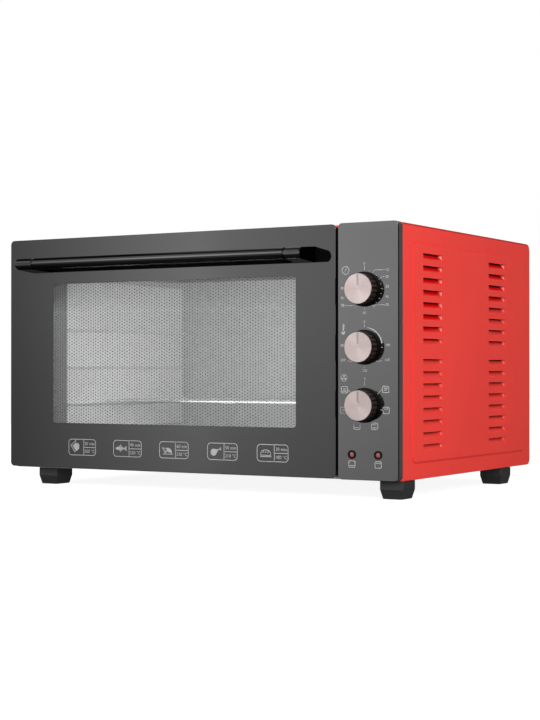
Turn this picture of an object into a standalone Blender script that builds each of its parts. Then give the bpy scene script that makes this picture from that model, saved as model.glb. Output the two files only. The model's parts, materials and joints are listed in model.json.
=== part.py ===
"""A counter-top mini oven with a drop-down glass door, a strip with three knobs and a louvred case.

Metres, +Z up, the front faces -Y. The origin is under the middle of the whole object, where it stands.
"""

import math

import bmesh
import bpy
from mathutils import Vector
from mathutils.geometry import interpolate_bezier

OBJECT_NAME = "mini_oven"

# Sizes shared by many pieces
CLEARANCE = 0.0003
SHEET = 0.0008
OVERRUN = 0.004
ROUND_STEPS = 24
CORNER_STEPS = 4
MERGE = 0.000001

# Door, fascia and case
DOOR_WIDTH = 0.4934
DOOR_LIFT = 0.0016
DOOR_TOP_LAP = 0.0002
DOOR_CORNER_RADIUS = 0.0055
DOOR_FASCIA_GAP = 0.0034
FASCIA_WIDTH = 0.0785
FASCIA_LIFT = 0.0006
FASCIA_TOP_LAP = 0.0010
FASCIA_CORNER_RADIUS = 0.0048
FRONT_STANDOFF = 0.0132
CASE_HEIGHT = 0.3017
CASE_DEPTH = 0.3960
CASE_CORNER_RADIUS = 0.0085
CASE_EDGE_RADIUS = 0.0012
FOOT_HEIGHT = 0.0216
HANDLE_REACH = 0.0393
GLAND_PROUD = 0.0070

CASE_WIDTH = DOOR_WIDTH + DOOR_FASCIA_GAP + FASCIA_WIDTH
CASE_LEFT = -CASE_WIDTH / 2
CASE_RIGHT = CASE_WIDTH / 2
OVERALL_DEPTH = HANDLE_REACH + FRONT_STANDOFF + CASE_DEPTH + GLAND_PROUD
FACE_Y = HANDLE_REACH - OVERALL_DEPTH / 2
CASE_FRONT = FACE_Y + FRONT_STANDOFF
CASE_REAR = CASE_FRONT + CASE_DEPTH
CASE_BOTTOM = FOOT_HEIGHT
CASE_TOP = CASE_BOTTOM + CASE_HEIGHT
DOOR_LEFT = CASE_LEFT
DOOR_RIGHT = DOOR_LEFT + DOOR_WIDTH
DOOR_BOTTOM = CASE_BOTTOM + DOOR_LIFT
DOOR_TOP = CASE_TOP + DOOR_TOP_LAP
FASCIA_LEFT = DOOR_RIGHT + DOOR_FASCIA_GAP
FASCIA_RIGHT = CASE_RIGHT
FASCIA_BOTTOM = CASE_BOTTOM + FASCIA_LIFT
FASCIA_TOP = CASE_TOP + FASCIA_TOP_LAP

# Side panels: a pan with a raised field and two columns of pressed louvres
PAN_DEPTH = 0.0100
FIELD_PROUD = 0.0010
FIELD_FRONT_MARGIN = 0.0232
FIELD_REAR_MARGIN = 0.0207
FIELD_BOTTOM_MARGIN = 0.0187
FIELD_TOP_MARGIN = 0.0204
FIELD_RADIUS = 0.0090
FIELD_BORDER_WIDTH = 0.0026
LOUVRE_LENGTH = 0.0570
LOUVRE_HEIGHT = 0.0072
LOUVRE_DEPTH = 0.0070
LOUVRE_SLIT = 0.0008
LOUVRE_PITCH = 0.01455
LOUVRE_FRONT_MARGIN = 0.0523
LOUVRE_REAR_MARGIN = 0.0889
LOUVRE_TOP_MARGIN = 0.0329
LOUVRE_BOTTOM_MARGIN = 0.0320
LOUVRE_MIDDLE_GAP = 0.02435
LOUVRE_GROUPS = 2

# Top cover, base panel and rear panel
TOP_LIP = 0.0025
FRONT_LIP = 0.0100
REAR_LIP = 0.0160
VENT_WIDTH = 0.0040
VENT_LENGTH = 0.0320
VENT_PITCH = 0.0110
VENT_ROW_GAP = 0.0120
VENTS_IN_ROW = 13
VENT_END_STEPS = 2
VENT_TOP_MARGIN = 0.0300
BASE_SLOTS = 9

# Front frame and cavity
FRAME_THICKNESS = 0.0010
MOUTH_SIDE_MARGIN = 0.0380
MOUTH_BOTTOM_MARGIN = 0.0280
MOUTH_TOP_MARGIN = 0.0278
MOUTH_RADIUS = 0.0060
CAVITY_REAR_GAP = 0.0457
LINER_FLANGE = 0.0060
SEAL_INSET = 0.0020
SEAL_WIDTH = 0.0060
PARTITION_OFFSET = 0.0105

# Rack guides, rack, tray and heaters
GUIDE_FRONT_MARGIN = 0.0560
GUIDE_REAR_MARGIN = 0.0080
GUIDE_END_MARGIN = 0.0220
RIB_PROUD = 0.0060
RIB_HEIGHT = 0.0040
RIB_PITCH = 0.0510
RIB_LEVEL = 0.0556
RIBS_EACH_SIDE = 3
RACK_ROD_RADIUS = 0.0021
RACK_WIRE_RADIUS = 0.0013
RACK_SIDE_GAP = 0.0015
RACK_FRONT_MARGIN = 0.1380
RACK_REAR_MARGIN = 0.0120
RACK_CORNER_RADIUS = 0.0120
RACK_WIRES = 15
TRAY_MARGIN = 0.0070
TRAY_HEIGHT = 0.0060
TRAY_SHEET = 0.0008
HEATER_RADIUS = 0.0033
HEATER_FRONT_MARGIN = 0.0800
HEATER_RUN_SPACING = 0.1900
HEATER_BEND = 0.0280
HEATER_LEFT_MARGIN = 0.0300
HEATER_TAIL = 0.0220
HEATER_WALL_GAP = 0.0140
BULB_RADIUS = 0.0024
BULB_LENGTH = 0.0900
CAPILLARY_RADIUS = 0.0012
CAPILLARY_FRONT_MARGIN = 0.0300
CAPILLARY_LEAD = 0.0050
BULB_TOP_MARGIN = 0.0420
BULB_WALL_GAP = 0.0080
BULB_LEAD = 0.0300
HEATER_BEND_STEPS = 5
HEATER_HOLE_SEGMENTS = 12

# Door
GLASS_THICKNESS = 0.0040
GLASS_EDGE = 0.0005
DOOR_FRAME_INSET = 0.0025
DOOR_FRAME_LIFT = 0.0015
DOOR_FRAME_DEPTH = 0.0067
DOOR_FRAME_SHEET = 0.0012
WINDOW_LEFT_MARGIN = 0.0718
WINDOW_RIGHT_MARGIN = 0.0540
WINDOW_BOTTOM_MARGIN = 0.0586
WINDOW_TOP_MARGIN = 0.0595
WINDOW_RADIUS = 0.0035
WINDOW_LAP = 0.0058
INNER_GLASS_THICKNESS = 0.0030
INNER_GLASS_LAP = 0.0070
INNER_GLASS_SINK = 0.0004

# Handle
HANDLE_RADIUS = 0.0073
HANDLE_WALL = 0.0012
HANDLE_LEFT_MARGIN = 0.0383
HANDLE_RIGHT_MARGIN = 0.0267
HANDLE_LEFT_END = 0.0277
HANDLE_RIGHT_END = 0.0231
HANDLE_TOP_MARGIN = 0.0346
HANDLE_FLARE = 0.0026
HANDLE_INNER_FLARE = 0.0080
HANDLE_END_ROUND = 0.0020
HANDLE_SPIGOT = 0.0120
HANDLE_SEAM = 0.0009
HANDLE_STEPS = 24
HANDLE_SECTION_SHARES = (0, 0.15, 0.32, 0.52, 0.76, 1)
HANDLE_NOSE_STEPS = 6
HANDLE_ROUND_SHARE = 0.9
SCREW_RADIUS = 0.0019
SCREW_HEAD_RADIUS = 0.0036
SCREW_HEAD_THICKNESS = 0.0022
SCREW_DEPTH = 0.0120
SCREW_DRIVE_DEPTH = 0.0010
SCREW_DRIVE_SHARE = 0.5

# Hinge
HINGE_DEPTH = 0.0076
HINGE_HEIGHT = 0.0050
PIN_RADIUS = 0.0016
PIN_LENGTH = 0.0120
PIN_SEGMENTS = 12
NOSE_RADIUS = 0.0029
NOSE_THICKNESS = 0.0030
NOSE_MARGIN = 0.0120
NOSE_SIDE_GAP = 0.0005
BRACKET_HEIGHT = 0.0420
BRACKET_DEPTH = 0.0180
BRACKET_FLANGE = 0.0120
BRACKET_SHEET = 0.0015
BRACKET_STEP = 0.0030
ARM_MARGIN = 0.0200
ARM_THICKNESS = 0.0020
ARM_RADIUS = 0.0600
ARM_WIDTH = 0.0060
ARM_START_ANGLE = math.radians(4)
ARM_END_ANGLE = math.radians(93)
ARM_STEPS = 18
ARM_TAB_HEIGHT = 0.0300
ARM_TAB_WIDTH = 0.0100
ARM_TAB_THICKNESS = 0.0013
ARM_SLOT_GAP = 0.0008

# Fascia and controls
FASCIA_GLASS_THICKNESS = 0.0032
FASCIA_WALL = 0.0020
KNOB_X_OFFSET = 0.0351
FUNCTION_HEIGHT = 0.0883
KNOB_PITCH = 0.0679
SHAFT_RADIUS = 0.0030
SHAFT_FLAT = 0.0022
SHAFT_HOLE_RADIUS = 0.0045
SHAFT_STEPS = 16
KNOB_FACE_REACH = 0.0172
KNOB_RADIUS = 0.0183
KNOB_RIB_DEPTH = 0.0009
KNOB_RIBS = 20
KNOB_FLANGE_RADIUS = 0.0205
KNOB_FLANGE_THICKNESS = 0.0022
KNOB_STANDOFF = 0.0006
KNOB_STEPS = 40
KNOB_EDGE = 0.0005
KNOB_RIB_SHARES = (0.15, 0.28, 0.87)
CAP_RADIUS = 0.0177
CAP_THICKNESS = 0.0014
CAP_EDGE = 0.0003
MARK_WIDTH = 0.0017
MARK_LENGTH = 0.0118
MARK_DEPTH = 0.0005
KNOB_BORE_DEPTH = 0.0110
SHAFT_SINK = 0.0140
TIMER_SIDE = 0.0460
TIMER_DEPTH = 0.0300
BELL_RADIUS = 0.0190
BELL_DEPTH = 0.0120
THERMOSTAT_WIDTH = 0.0420
THERMOSTAT_HEIGHT = 0.0300
THERMOSTAT_DEPTH = 0.0260
SWITCH_SIDE = 0.0380
SWITCH_DEPTH = 0.0340
TAB_WIDTH = 0.0063
TAB_THICKNESS = 0.0008
TAB_LENGTH = 0.0080
SWITCH_TABS = 4
CONTROL_CORNER_RADIUS = 0.0030
LAMP_HEIGHT = 0.0304
LAMP_LEFT_OFFSET = 0.0185
LAMP_PITCH = 0.0344
LAMP_RADIUS = 0.0052
LAMP_STEPS = 16
LAMP_BARREL_RADIUS = 0.0041
LAMP_BARREL_LENGTH = 0.0170
LAMP_BEZEL_THICKNESS = 0.0008
LENS_RADIUS = 0.0032
LENS_CROWN = 0.0006
LENS_SHOULDER_SHARE = 0.8

# Feet
FOOT_WIDTH = 0.0305
FOOT_DEPTH = 0.0332
FOOT_TAPER = 0.0026
FOOT_TAPER_HEIGHT = 0.0112
FOOT_EDGE = 0.0012
FOOT_EDGE_STEPS = 2
FOOT_SOLE_EDGE = 0.0005
FOOT_FRONT_MARGIN = 0.0002
FOOT_REAR_MARGIN = 0.0685
FOOT_LEFT_MARGIN = 0.0375
FOOT_SPIGOT_RADIUS = 0.0040
FOOT_SPIGOT_INSET = 0.0105
FOOT_SPIGOT_HEIGHT = 0.0060

# Electrical pieces at the rear of the control compartment
GLAND_RADIUS = 0.0090
GLAND_BORE = 0.0040
GLAND_BARREL_RADIUS = 0.0070
GLAND_INSIDE = 0.0080
GLAND_HEIGHT = 0.0460
GLAND_RIGHT_MARGIN = 0.0420
TERMINAL_WIDTH = 0.0340
TERMINAL_DEPTH = 0.0200
TERMINAL_HEIGHT = 0.0180
TERMINAL_REAR_MARGIN = 0.0600
TERMINAL_GROOVE = 0.0016
TERMINAL_GROOVE_DEPTH = 0.0090
TERMINAL_SCREW_RADIUS = 0.0032
WIRE_RADIUS = 0.0015
WIRE_LEAD = 0.0080
WIRE_STEPS = 14
BEND_SHARE = 0.4

# Places that several pieces share
LIP_REAR = CASE_FRONT + SHEET
FRAME_FRONT = LIP_REAR + CLEARANCE
FRAME_REAR = FRAME_FRONT + FRAME_THICKNESS
LINER_FRONT = FRAME_REAR + CLEARANCE
MOUTH_LEFT = DOOR_LEFT + MOUTH_SIDE_MARGIN
MOUTH_RIGHT = DOOR_RIGHT - MOUTH_SIDE_MARGIN
MOUTH_BOTTOM = CASE_BOTTOM + MOUTH_BOTTOM_MARGIN
MOUTH_TOP = CASE_TOP - MOUTH_TOP_MARGIN
REAR_PLATE_BACK = CASE_REAR - SHEET - CLEARANCE
REAR_PLATE_FRONT = REAR_PLATE_BACK - SHEET
LINER_REAR = REAR_PLATE_FRONT - CAVITY_REAR_GAP
FLOOR_TOP = CASE_BOTTOM + SHEET
PARTITION_LEFT = MOUTH_RIGHT + PARTITION_OFFSET
PARTITION_RIGHT = PARTITION_LEFT + SHEET
COVER_LEFT = CASE_LEFT + PAN_DEPTH + CLEARANCE
COVER_RIGHT = CASE_RIGHT - PAN_DEPTH - CLEARANCE
GLASS_REAR = FACE_Y + GLASS_THICKNESS
DOOR_FRAME_FRONT = GLASS_REAR + CLEARANCE
DOOR_FRAME_REAR = DOOR_FRAME_FRONT + DOOR_FRAME_DEPTH
WINDOW_LEFT = DOOR_LEFT + WINDOW_LEFT_MARGIN
WINDOW_RIGHT = DOOR_RIGHT - WINDOW_RIGHT_MARGIN
WINDOW_BOTTOM = DOOR_BOTTOM + WINDOW_BOTTOM_MARGIN
WINDOW_TOP = DOOR_TOP - WINDOW_TOP_MARGIN
HINGE_Y = FACE_Y + HINGE_DEPTH
HINGE_Z = DOOR_BOTTOM + HINGE_HEIGHT
HANDLE_Y = FACE_Y - HANDLE_REACH + HANDLE_RADIUS
HANDLE_Z = DOOR_TOP - HANDLE_TOP_MARGIN
HANDLE_LEFT = DOOR_LEFT + HANDLE_LEFT_MARGIN
HANDLE_RIGHT = DOOR_RIGHT - HANDLE_RIGHT_MARGIN
KNOB_X = FASCIA_LEFT + KNOB_X_OFFSET
FUNCTION_Z = CASE_BOTTOM + FUNCTION_HEIGHT
THERMOSTAT_Z = FUNCTION_Z + KNOB_PITCH
TIMER_Z = THERMOSTAT_Z + KNOB_PITCH
LAMP_Z = CASE_BOTTOM + LAMP_HEIGHT
LAMP_XS = (FASCIA_LEFT + LAMP_LEFT_OFFSET, FASCIA_LEFT + LAMP_LEFT_OFFSET + LAMP_PITCH)
HEATER_YS = (LINER_FRONT + HEATER_FRONT_MARGIN, LINER_FRONT + HEATER_FRONT_MARGIN + HEATER_RUN_SPACING)
UPPER_HEATER_Z = MOUTH_TOP - HEATER_WALL_GAP
LOWER_HEATER_Z = MOUTH_BOTTOM + HEATER_WALL_GAP
HEATER_END = PARTITION_RIGHT + HEATER_TAIL
CAPILLARY_Y = LINER_FRONT + CAPILLARY_FRONT_MARGIN
BULB_Z = MOUTH_TOP - BULB_TOP_MARGIN
GLAND_X = CASE_RIGHT - GLAND_RIGHT_MARGIN
GLAND_Z = CASE_BOTTOM + GLAND_HEIGHT
TERMINAL_FRONT = REAR_PLATE_FRONT - TERMINAL_REAR_MARGIN - TERMINAL_DEPTH
RACK_Z = MOUTH_BOTTOM + RIB_LEVEL + CLEARANCE + RACK_ROD_RADIUS

# Colour, roughness and metallic value of each material
MATERIALS = {
    "red_enamel": ((0.80, 0.075, 0.055), 0.40, 0.0),
    "black_glass": ((0.035, 0.035, 0.036), 0.08, 0.0),
    "clear_glass": ((0.62, 0.66, 0.66), 0.05, 0.0),
    "black_steel": ((0.030, 0.030, 0.032), 0.45, 0.6),
    "galvanised_steel": ((0.55, 0.56, 0.57), 0.38, 0.9),
    "bright_wire": ((0.72, 0.72, 0.72), 0.22, 1.0),
    "heater_sheath": ((0.20, 0.18, 0.17), 0.40, 0.8),
    "rose_aluminium": ((0.60, 0.50, 0.48), 0.30, 0.9),
    "gloss_black": ((0.012, 0.012, 0.012), 0.22, 0.0),
    "matte_black": ((0.020, 0.020, 0.020), 0.55, 0.0),
    "silicone_grey": ((0.10, 0.10, 0.10), 0.70, 0.0),
    "lamp_red": ((0.35, 0.020, 0.020), 0.20, 0.0),
    "phenolic_cream": ((0.70, 0.64, 0.52), 0.50, 0.0),
    "wire_brown": ((0.16, 0.07, 0.04), 0.50, 0.0),
    "wire_blue": ((0.04, 0.10, 0.35), 0.50, 0.0),
}

# Ways along the object's axes
LEFTWARD, RIGHTWARD = (-1, 0, 0), (1, 0, 0)
FORWARD, BACKWARD = (0, -1, 0), (0, 1, 0)

# How an outline's two directions and its thickness lie in the object's frame
FACINGS = {
    "flat": ((0, 0, 0), Vector((0, 0, 1))),
    "front": ((math.pi / 2, 0, 0), Vector((0, 1, 0))),
    "side": ((math.pi / 2, 0, math.pi / 2), Vector((1, 0, 0))),
}


def start_scene():
    """Removes what the scene holds and makes the two collections."""
    for old in list(bpy.data.objects):
        bpy.data.objects.remove(old, do_unlink=True)
    parts = bpy.data.collections.new(OBJECT_NAME)
    cutters = bpy.data.collections.new("cutters")
    for group in (parts, cutters):
        bpy.context.scene.collection.children.link(group)
    cutters.hide_render = True
    return parts, cutters


PARTS, CUTTERS = start_scene()


def make_materials():
    made = {}
    for name, (colour, roughness, metallic) in MATERIALS.items():
        material = bpy.data.materials.new(name)
        material.use_nodes = True
        shader = material.node_tree.nodes["Principled BSDF"]
        shader.inputs["Base Color"].default_value = (*colour, 1)
        shader.inputs["Roughness"].default_value = roughness
        shader.inputs["Metallic"].default_value = metallic
        made[name] = material
    return made


SURFACES = make_materials()


def arc(centre, radius, start, end, steps):
    """Points along an arc, both ends included; the angles are in radians."""
    points = []
    for step in range(steps + 1):
        angle = start + (end - start) * step / steps
        points.append((centre[0] + radius * math.cos(angle), centre[1] + radius * math.sin(angle)))
    return points


def circle(centre, radius, steps=ROUND_STEPS):
    return arc(centre, radius, 0, math.tau, steps)[:-1]


def rectangle(left, right, low, high):
    return [(left, low), (right, low), (right, high), (left, high)]


def rounded_rectangle(left, right, low, high, radius, steps=CORNER_STEPS):
    quarter = math.pi / 2
    points = arc((left + radius, low + radius), radius, 2 * quarter, 3 * quarter, steps)
    points += arc((right - radius, low + radius), radius, 3 * quarter, 4 * quarter, steps)
    points += arc((right - radius, high - radius), radius, 0, quarter, steps)
    points += arc((left + radius, high - radius), radius, quarter, 2 * quarter, steps)
    return points


def mouth_outline(grow):
    """The oven mouth's outline, made larger all round by a given amount."""
    return rounded_rectangle(
        MOUTH_LEFT - grow, MOUTH_RIGHT + grow, MOUTH_BOTTOM - grow, MOUTH_TOP + grow, MOUTH_RADIUS + grow
    )


def case_profile(front, rear, low, high, radius):
    """A side view of the case: square at the front, with round corners at the rear."""
    quarter = math.pi / 2
    points = [(front, high), (front, low)]
    points += arc((rear - radius, low + radius), radius, -quarter, 0, CORNER_STEPS)
    points += arc((rear - radius, high - radius), radius, 0, quarter, CORNER_STEPS)
    return points


def strip(path, thickness):
    """The outline of a bent sheet whose outer side follows the path, with its thickness on the right."""
    inner = []
    last = len(path) - 1
    for index, point in enumerate(path):
        before = Vector(path[max(index - 1, 0)])
        here = Vector(point)
        after = Vector(path[min(index + 1, last)])
        along = [way.normalized() for way in (here - before, after - here) if way.length > 0]
        rights = [Vector((way.y, -way.x)) for way in along]
        middle = sum(rights, Vector((0, 0))).normalized()
        inner.append(tuple(here + middle * (thickness / middle.dot(rights[0]))))
    return list(path) + inner[::-1]


def curve_to_mesh(curve_object):
    """Turns a curve object into a mesh object of the same name, welded where its caps meet its walls."""
    name = curve_object.name
    bpy.context.scene.collection.objects.link(curve_object)
    bpy.context.view_layer.update()
    mesh = bpy.data.meshes.new_from_object(curve_object.evaluated_get(bpy.context.evaluated_depsgraph_get()))
    solid = bmesh.new()
    solid.from_mesh(mesh)
    bmesh.ops.remove_doubles(solid, verts=solid.verts, dist=MERGE)
    bmesh.ops.recalc_face_normals(solid, faces=solid.faces)
    solid.to_mesh(mesh)
    solid.free()
    placed = curve_object.matrix_world.copy()
    bpy.data.objects.remove(curve_object, do_unlink=True)
    made = bpy.data.objects.new(name, mesh)
    made.matrix_world = placed
    return made


def extruded(name, outlines, low, high, facing):
    """Solid flat outlines, the inner ones as holes, between two places along the facing's direction."""
    curve = bpy.data.curves.new(name, "CURVE")
    curve.dimensions = "2D"
    curve.fill_mode = "BOTH"
    curve.extrude = (high - low) / 2
    for outline in outlines:
        spline = curve.splines.new("POLY")
        spline.points.add(len(outline) - 1)
        for point, (across, up) in zip(spline.points, outline):
            point.co = (across, up, 0, 1)
        spline.use_cyclic_u = True
    turn, direction = FACINGS[facing]
    made = bpy.data.objects.new(name, curve)
    made.rotation_euler = turn
    made.location = direction * (low + high) / 2
    return curve_to_mesh(made)


def tube(name, points, radius, closed=False, sides=2, radius_shares=None):
    """A solid rod along the points; the shares scale its radius at each of them."""
    curve = bpy.data.curves.new(name, "CURVE")
    curve.dimensions = "3D"
    curve.bevel_depth = radius
    curve.bevel_resolution = sides
    curve.use_fill_caps = not closed
    spline = curve.splines.new("POLY")
    spline.points.add(len(points) - 1)
    for index, point in enumerate(points):
        spline.points[index].co = (*point, 1)
        if radius_shares:
            spline.points[index].radius = radius_shares[index]
    spline.use_cyclic_u = closed
    return curve_to_mesh(bpy.data.objects.new(name, curve))


def cylinder(name, centre, radius, low, high, facing, segments=ROUND_STEPS):
    """A round rod along the facing's direction; the centre is in the outline's two directions."""
    return extruded(name, [circle(centre, radius, segments)], low, high, facing)


def turned(name, profile, location, turn, steps=ROUND_STEPS):
    """A closed or axis-to-axis profile of radius and height, turned about the Z axis, then placed."""
    mesh = bpy.data.meshes.new(name)
    shape = bmesh.new()
    corners = [shape.verts.new((radius, 0, height)) for radius, height in profile]
    for first, second in zip(corners, corners[1:]):
        shape.edges.new((first, second))
    if profile[0][0] > 0:
        shape.edges.new((corners[-1], corners[0]))
    shape.to_mesh(mesh)
    shape.free()
    made = bpy.data.objects.new(name, mesh)
    made.location = location
    made.rotation_euler = turn
    screw = made.modifiers.new("turn", "SCREW")
    screw.angle = math.tau
    screw.steps = steps
    screw.render_steps = steps
    screw.use_merge_vertices = True
    screw.merge_threshold = MERGE
    screw.use_smooth_shade = True
    return made


def box(name, low, high):
    """A block between two corners."""
    mesh = bpy.data.meshes.new(name)
    shape = bmesh.new()
    bmesh.ops.create_cube(shape, size=1)
    size = Vector(high) - Vector(low)
    bmesh.ops.scale(shape, vec=size, verts=shape.verts)
    shape.to_mesh(mesh)
    shape.free()
    made = bpy.data.objects.new(name, mesh)
    made.location = (Vector(low) + Vector(high)) / 2
    return made


def lofted(name, rings):
    """A closed solid through rings of points that all have as many, the first and last of them filled."""
    mesh = bpy.data.meshes.new(name)
    solid = bmesh.new()
    loops = [[solid.verts.new(point) for point in ring] for ring in rings]
    for first, second in zip(loops, loops[1:]):
        for index in range(len(first)):
            after = (index + 1) % len(first)
            solid.faces.new((first[index], first[after], second[after], second[index]))
    solid.faces.new(loops[0][::-1])
    solid.faces.new(loops[-1])
    bmesh.ops.recalc_face_normals(solid, faces=solid.faces)
    solid.to_mesh(mesh)
    solid.free()
    return bpy.data.objects.new(name, mesh)


def use_tool(target, tool, operation):
    tool.name = target.name + "_tool"
    CUTTERS.objects.link(tool)
    tool.hide_render = True
    tool.display_type = "WIRE"
    change = target.modifiers.new(operation.lower(), "BOOLEAN")
    change.operation = operation
    change.solver = "EXACT"
    change.object = tool


def cut(target, *tools):
    for tool in tools:
        use_tool(target, tool, "DIFFERENCE")


def join(target, *tools):
    for tool in tools:
        use_tool(target, tool, "UNION")


def round_edges(target, width, segments=1, angle=math.radians(40)):
    bevel = target.modifiers.new("bevel", "BEVEL")
    bevel.width = width
    bevel.segments = segments
    bevel.limit_method = "ANGLE"
    bevel.angle_limit = angle


def finish(made, material, smooth=False, parent=None):
    """Puts a finished sub-part in the collection with its material, under its joint's empty if it moves."""
    PARTS.objects.link(made)
    made.data.materials.clear()
    made.data.materials.append(SURFACES[material])
    if smooth:
        made.data.shade_smooth()
        made.data.set_sharp_from_angle(angle=math.radians(35))
    if parent:
        bpy.context.view_layer.update()
        made.parent = parent
        made.matrix_parent_inverse = parent.matrix_world.inverted()
    return made


def joint_empty(name, location):
    empty = bpy.data.objects.new(name, None)
    empty.location = location
    PARTS.objects.link(empty)
    bpy.context.view_layer.update()
    return empty


def side_span(side, near, far):
    """The X places, in rising order, of a layer between two distances inward from the case's side."""
    ends = (side * (CASE_WIDTH / 2 - near), side * (CASE_WIDTH / 2 - far))
    return min(ends), max(ends)


def louvre_tops():
    """The heights of the louvres' upper edges, in the upper and the lower group."""
    span = CASE_HEIGHT - LOUVRE_TOP_MARGIN - LOUVRE_BOTTOM_MARGIN - LOUVRE_MIDDLE_GAP - LOUVRE_HEIGHT
    rows = int(span / (LOUVRE_GROUPS * LOUVRE_PITCH)) + 1
    top = CASE_TOP - LOUVRE_TOP_MARGIN
    for _ in range(LOUVRE_GROUPS):
        for _ in range(rows):
            yield top
            top -= LOUVRE_PITCH
        top += LOUVRE_PITCH - LOUVRE_MIDDLE_GAP


def louvre_outlines(side, places):
    """One outline for each louvre, from distances inward and heights above its lower edge."""
    outlines = []
    for top in louvre_tops():
        low = top - LOUVRE_HEIGHT
        outlines.append([(side * (CASE_WIDTH / 2 - inward), low + height) for inward, height in places])
    return outlines


def field_solid(name, side, depth):
    """The raised field's form with its sloped border, which crosses a plane at a depth in the side."""
    rings = []
    for way in (-1, 1):
        inward = depth - way * FIELD_PROUD
        margin = depth + way * FIELD_BORDER_WIDTH
        outline = rounded_rectangle(
            CASE_FRONT + FIELD_FRONT_MARGIN + margin,
            CASE_REAR - FIELD_REAR_MARGIN - margin,
            CASE_BOTTOM + FIELD_BOTTOM_MARGIN + margin,
            CASE_TOP - FIELD_TOP_MARGIN - margin,
            FIELD_RADIUS - margin,
        )
        rings.append([(side * (CASE_WIDTH / 2 - inward), y, z) for y, z in outline])
    return lofted(name, rings)


def side_panel(name, side):
    profile = case_profile(CASE_FRONT, CASE_REAR, CASE_BOTTOM, CASE_TOP, CASE_CORNER_RADIUS)
    panel = extruded(name, [profile], *side_span(side, 0, PAN_DEPTH), "side")
    round_edges(panel, CASE_EDGE_RADIUS)
    join(panel, field_solid(name, side, 0))
    inner = case_profile(
        LIP_REAR, CASE_REAR - SHEET, FLOOR_TOP, CASE_TOP - SHEET, CASE_CORNER_RADIUS - SHEET
    )
    cut(panel, extruded(name, [inner], *side_span(side, SHEET, PAN_DEPTH + OVERRUN), "side"))
    cut(panel, field_solid(name, side, SHEET))
    skin = -FIELD_PROUD
    scoop_end = skin + LOUVRE_DEPTH
    flap_top = LOUVRE_HEIGHT - LOUVRE_SLIT
    scoop = [
        (skin + SHEET / 2, 0),
        (scoop_end, flap_top),
        (scoop_end, LOUVRE_HEIGHT),
        (skin + SHEET / 2, LOUVRE_HEIGHT),
    ]
    opening = [
        (skin - OVERRUN, 0),
        (skin, 0),
        (scoop_end - SHEET, flap_top),
        (scoop_end + OVERRUN, flap_top),
        (scoop_end + OVERRUN, LOUVRE_HEIGHT),
        (skin - OVERRUN, LOUVRE_HEIGHT),
    ]
    columns = (CASE_FRONT + LOUVRE_FRONT_MARGIN, CASE_REAR - LOUVRE_REAR_MARGIN - LOUVRE_LENGTH)
    for start in columns:
        join(panel, extruded(name, louvre_outlines(side, scoop), start, start + LOUVRE_LENGTH, "front"))
    for start in columns:
        ends = (start + SHEET, start + LOUVRE_LENGTH - SHEET)
        cut(panel, extruded(name, louvre_outlines(side, opening), *ends, "front"))
    return finish(panel, "red_enamel")


def cover_path(low, high, front_lip):
    """The outer side of a case sheet from its front lip to its rear lip; low is the lips' side."""
    inward = math.copysign(1, low - high)
    radius = CASE_CORNER_RADIUS
    centre = (CASE_REAR - radius, high + inward * radius)
    corner = arc(centre, radius, -inward * math.pi / 2, 0, CORNER_STEPS)
    front = [(CASE_FRONT, high + inward * front_lip), (CASE_FRONT, high)]
    return front + corner + [(CASE_REAR, high + inward * REAR_LIP)]


def top_cover():
    path = cover_path(CASE_BOTTOM, CASE_TOP, TOP_LIP)
    cover = extruded("top_cover", [strip(path, SHEET)], COVER_LEFT, COVER_RIGHT, "side")
    finish(cover, "red_enamel")


def foot_places():
    """The low corner of each foot, with the side of it that holds its spigot."""
    ys = {"front": CASE_FRONT + FOOT_FRONT_MARGIN, "rear": CASE_REAR - FOOT_REAR_MARGIN - FOOT_DEPTH}
    xs = {"left": CASE_LEFT + FOOT_LEFT_MARGIN, "right": CASE_RIGHT - FOOT_WIDTH}
    for end, y in ys.items():
        for side, x in xs.items():
            yield "foot_" + end + "_" + side, x, y


def spigot_centre(x, y):
    return x + FOOT_SPIGOT_INSET, y + FOOT_DEPTH / 2


def nose_spans():
    """The X span of each hinge bracket's nose, the left one first."""
    left = DOOR_LEFT + NOSE_MARGIN
    right = DOOR_RIGHT - NOSE_MARGIN
    return (left, left + NOSE_THICKNESS), (right - NOSE_THICKNESS, right)


def base_panel():
    path = cover_path(CASE_TOP, CASE_BOTTOM, FRONT_LIP)[::-1]
    base = extruded("base_panel", [strip(path, SHEET)], COVER_LEFT, COVER_RIGHT, "side")
    low = CASE_BOTTOM - OVERRUN
    for _, x, y in foot_places():
        hole_radius = FOOT_SPIGOT_RADIUS + CLEARANCE
        cut(base, cylinder("base_panel", spigot_centre(x, y), hole_radius, low, FLOOR_TOP + OVERRUN, "flat"))
    gap = NOSE_RADIUS + NOSE_SIDE_GAP
    for left, right in nose_spans():
        start = (left - NOSE_SIDE_GAP, CASE_FRONT - OVERRUN, HINGE_Z - gap)
        end = (right + NOSE_SIDE_GAP, FRAME_FRONT, CASE_BOTTOM + FRONT_LIP + OVERRUN)
        cut(base, box("base_panel", start, end))
    for index in range(BASE_SLOTS):
        x = MOUTH_LEFT + (index + 1) * (MOUTH_RIGHT - MOUTH_LEFT) / (BASE_SLOTS + 1)
        y = CASE_FRONT + CASE_DEPTH / 2
        half = VENT_WIDTH / 2
        slot = rounded_rectangle(x - half, x + half, y - VENT_LENGTH, y + VENT_LENGTH, half, VENT_END_STEPS)
        cut(base, extruded("base_panel", [slot], low, FLOOR_TOP + OVERRUN, "flat"))
    finish(base, "galvanised_steel")


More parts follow.
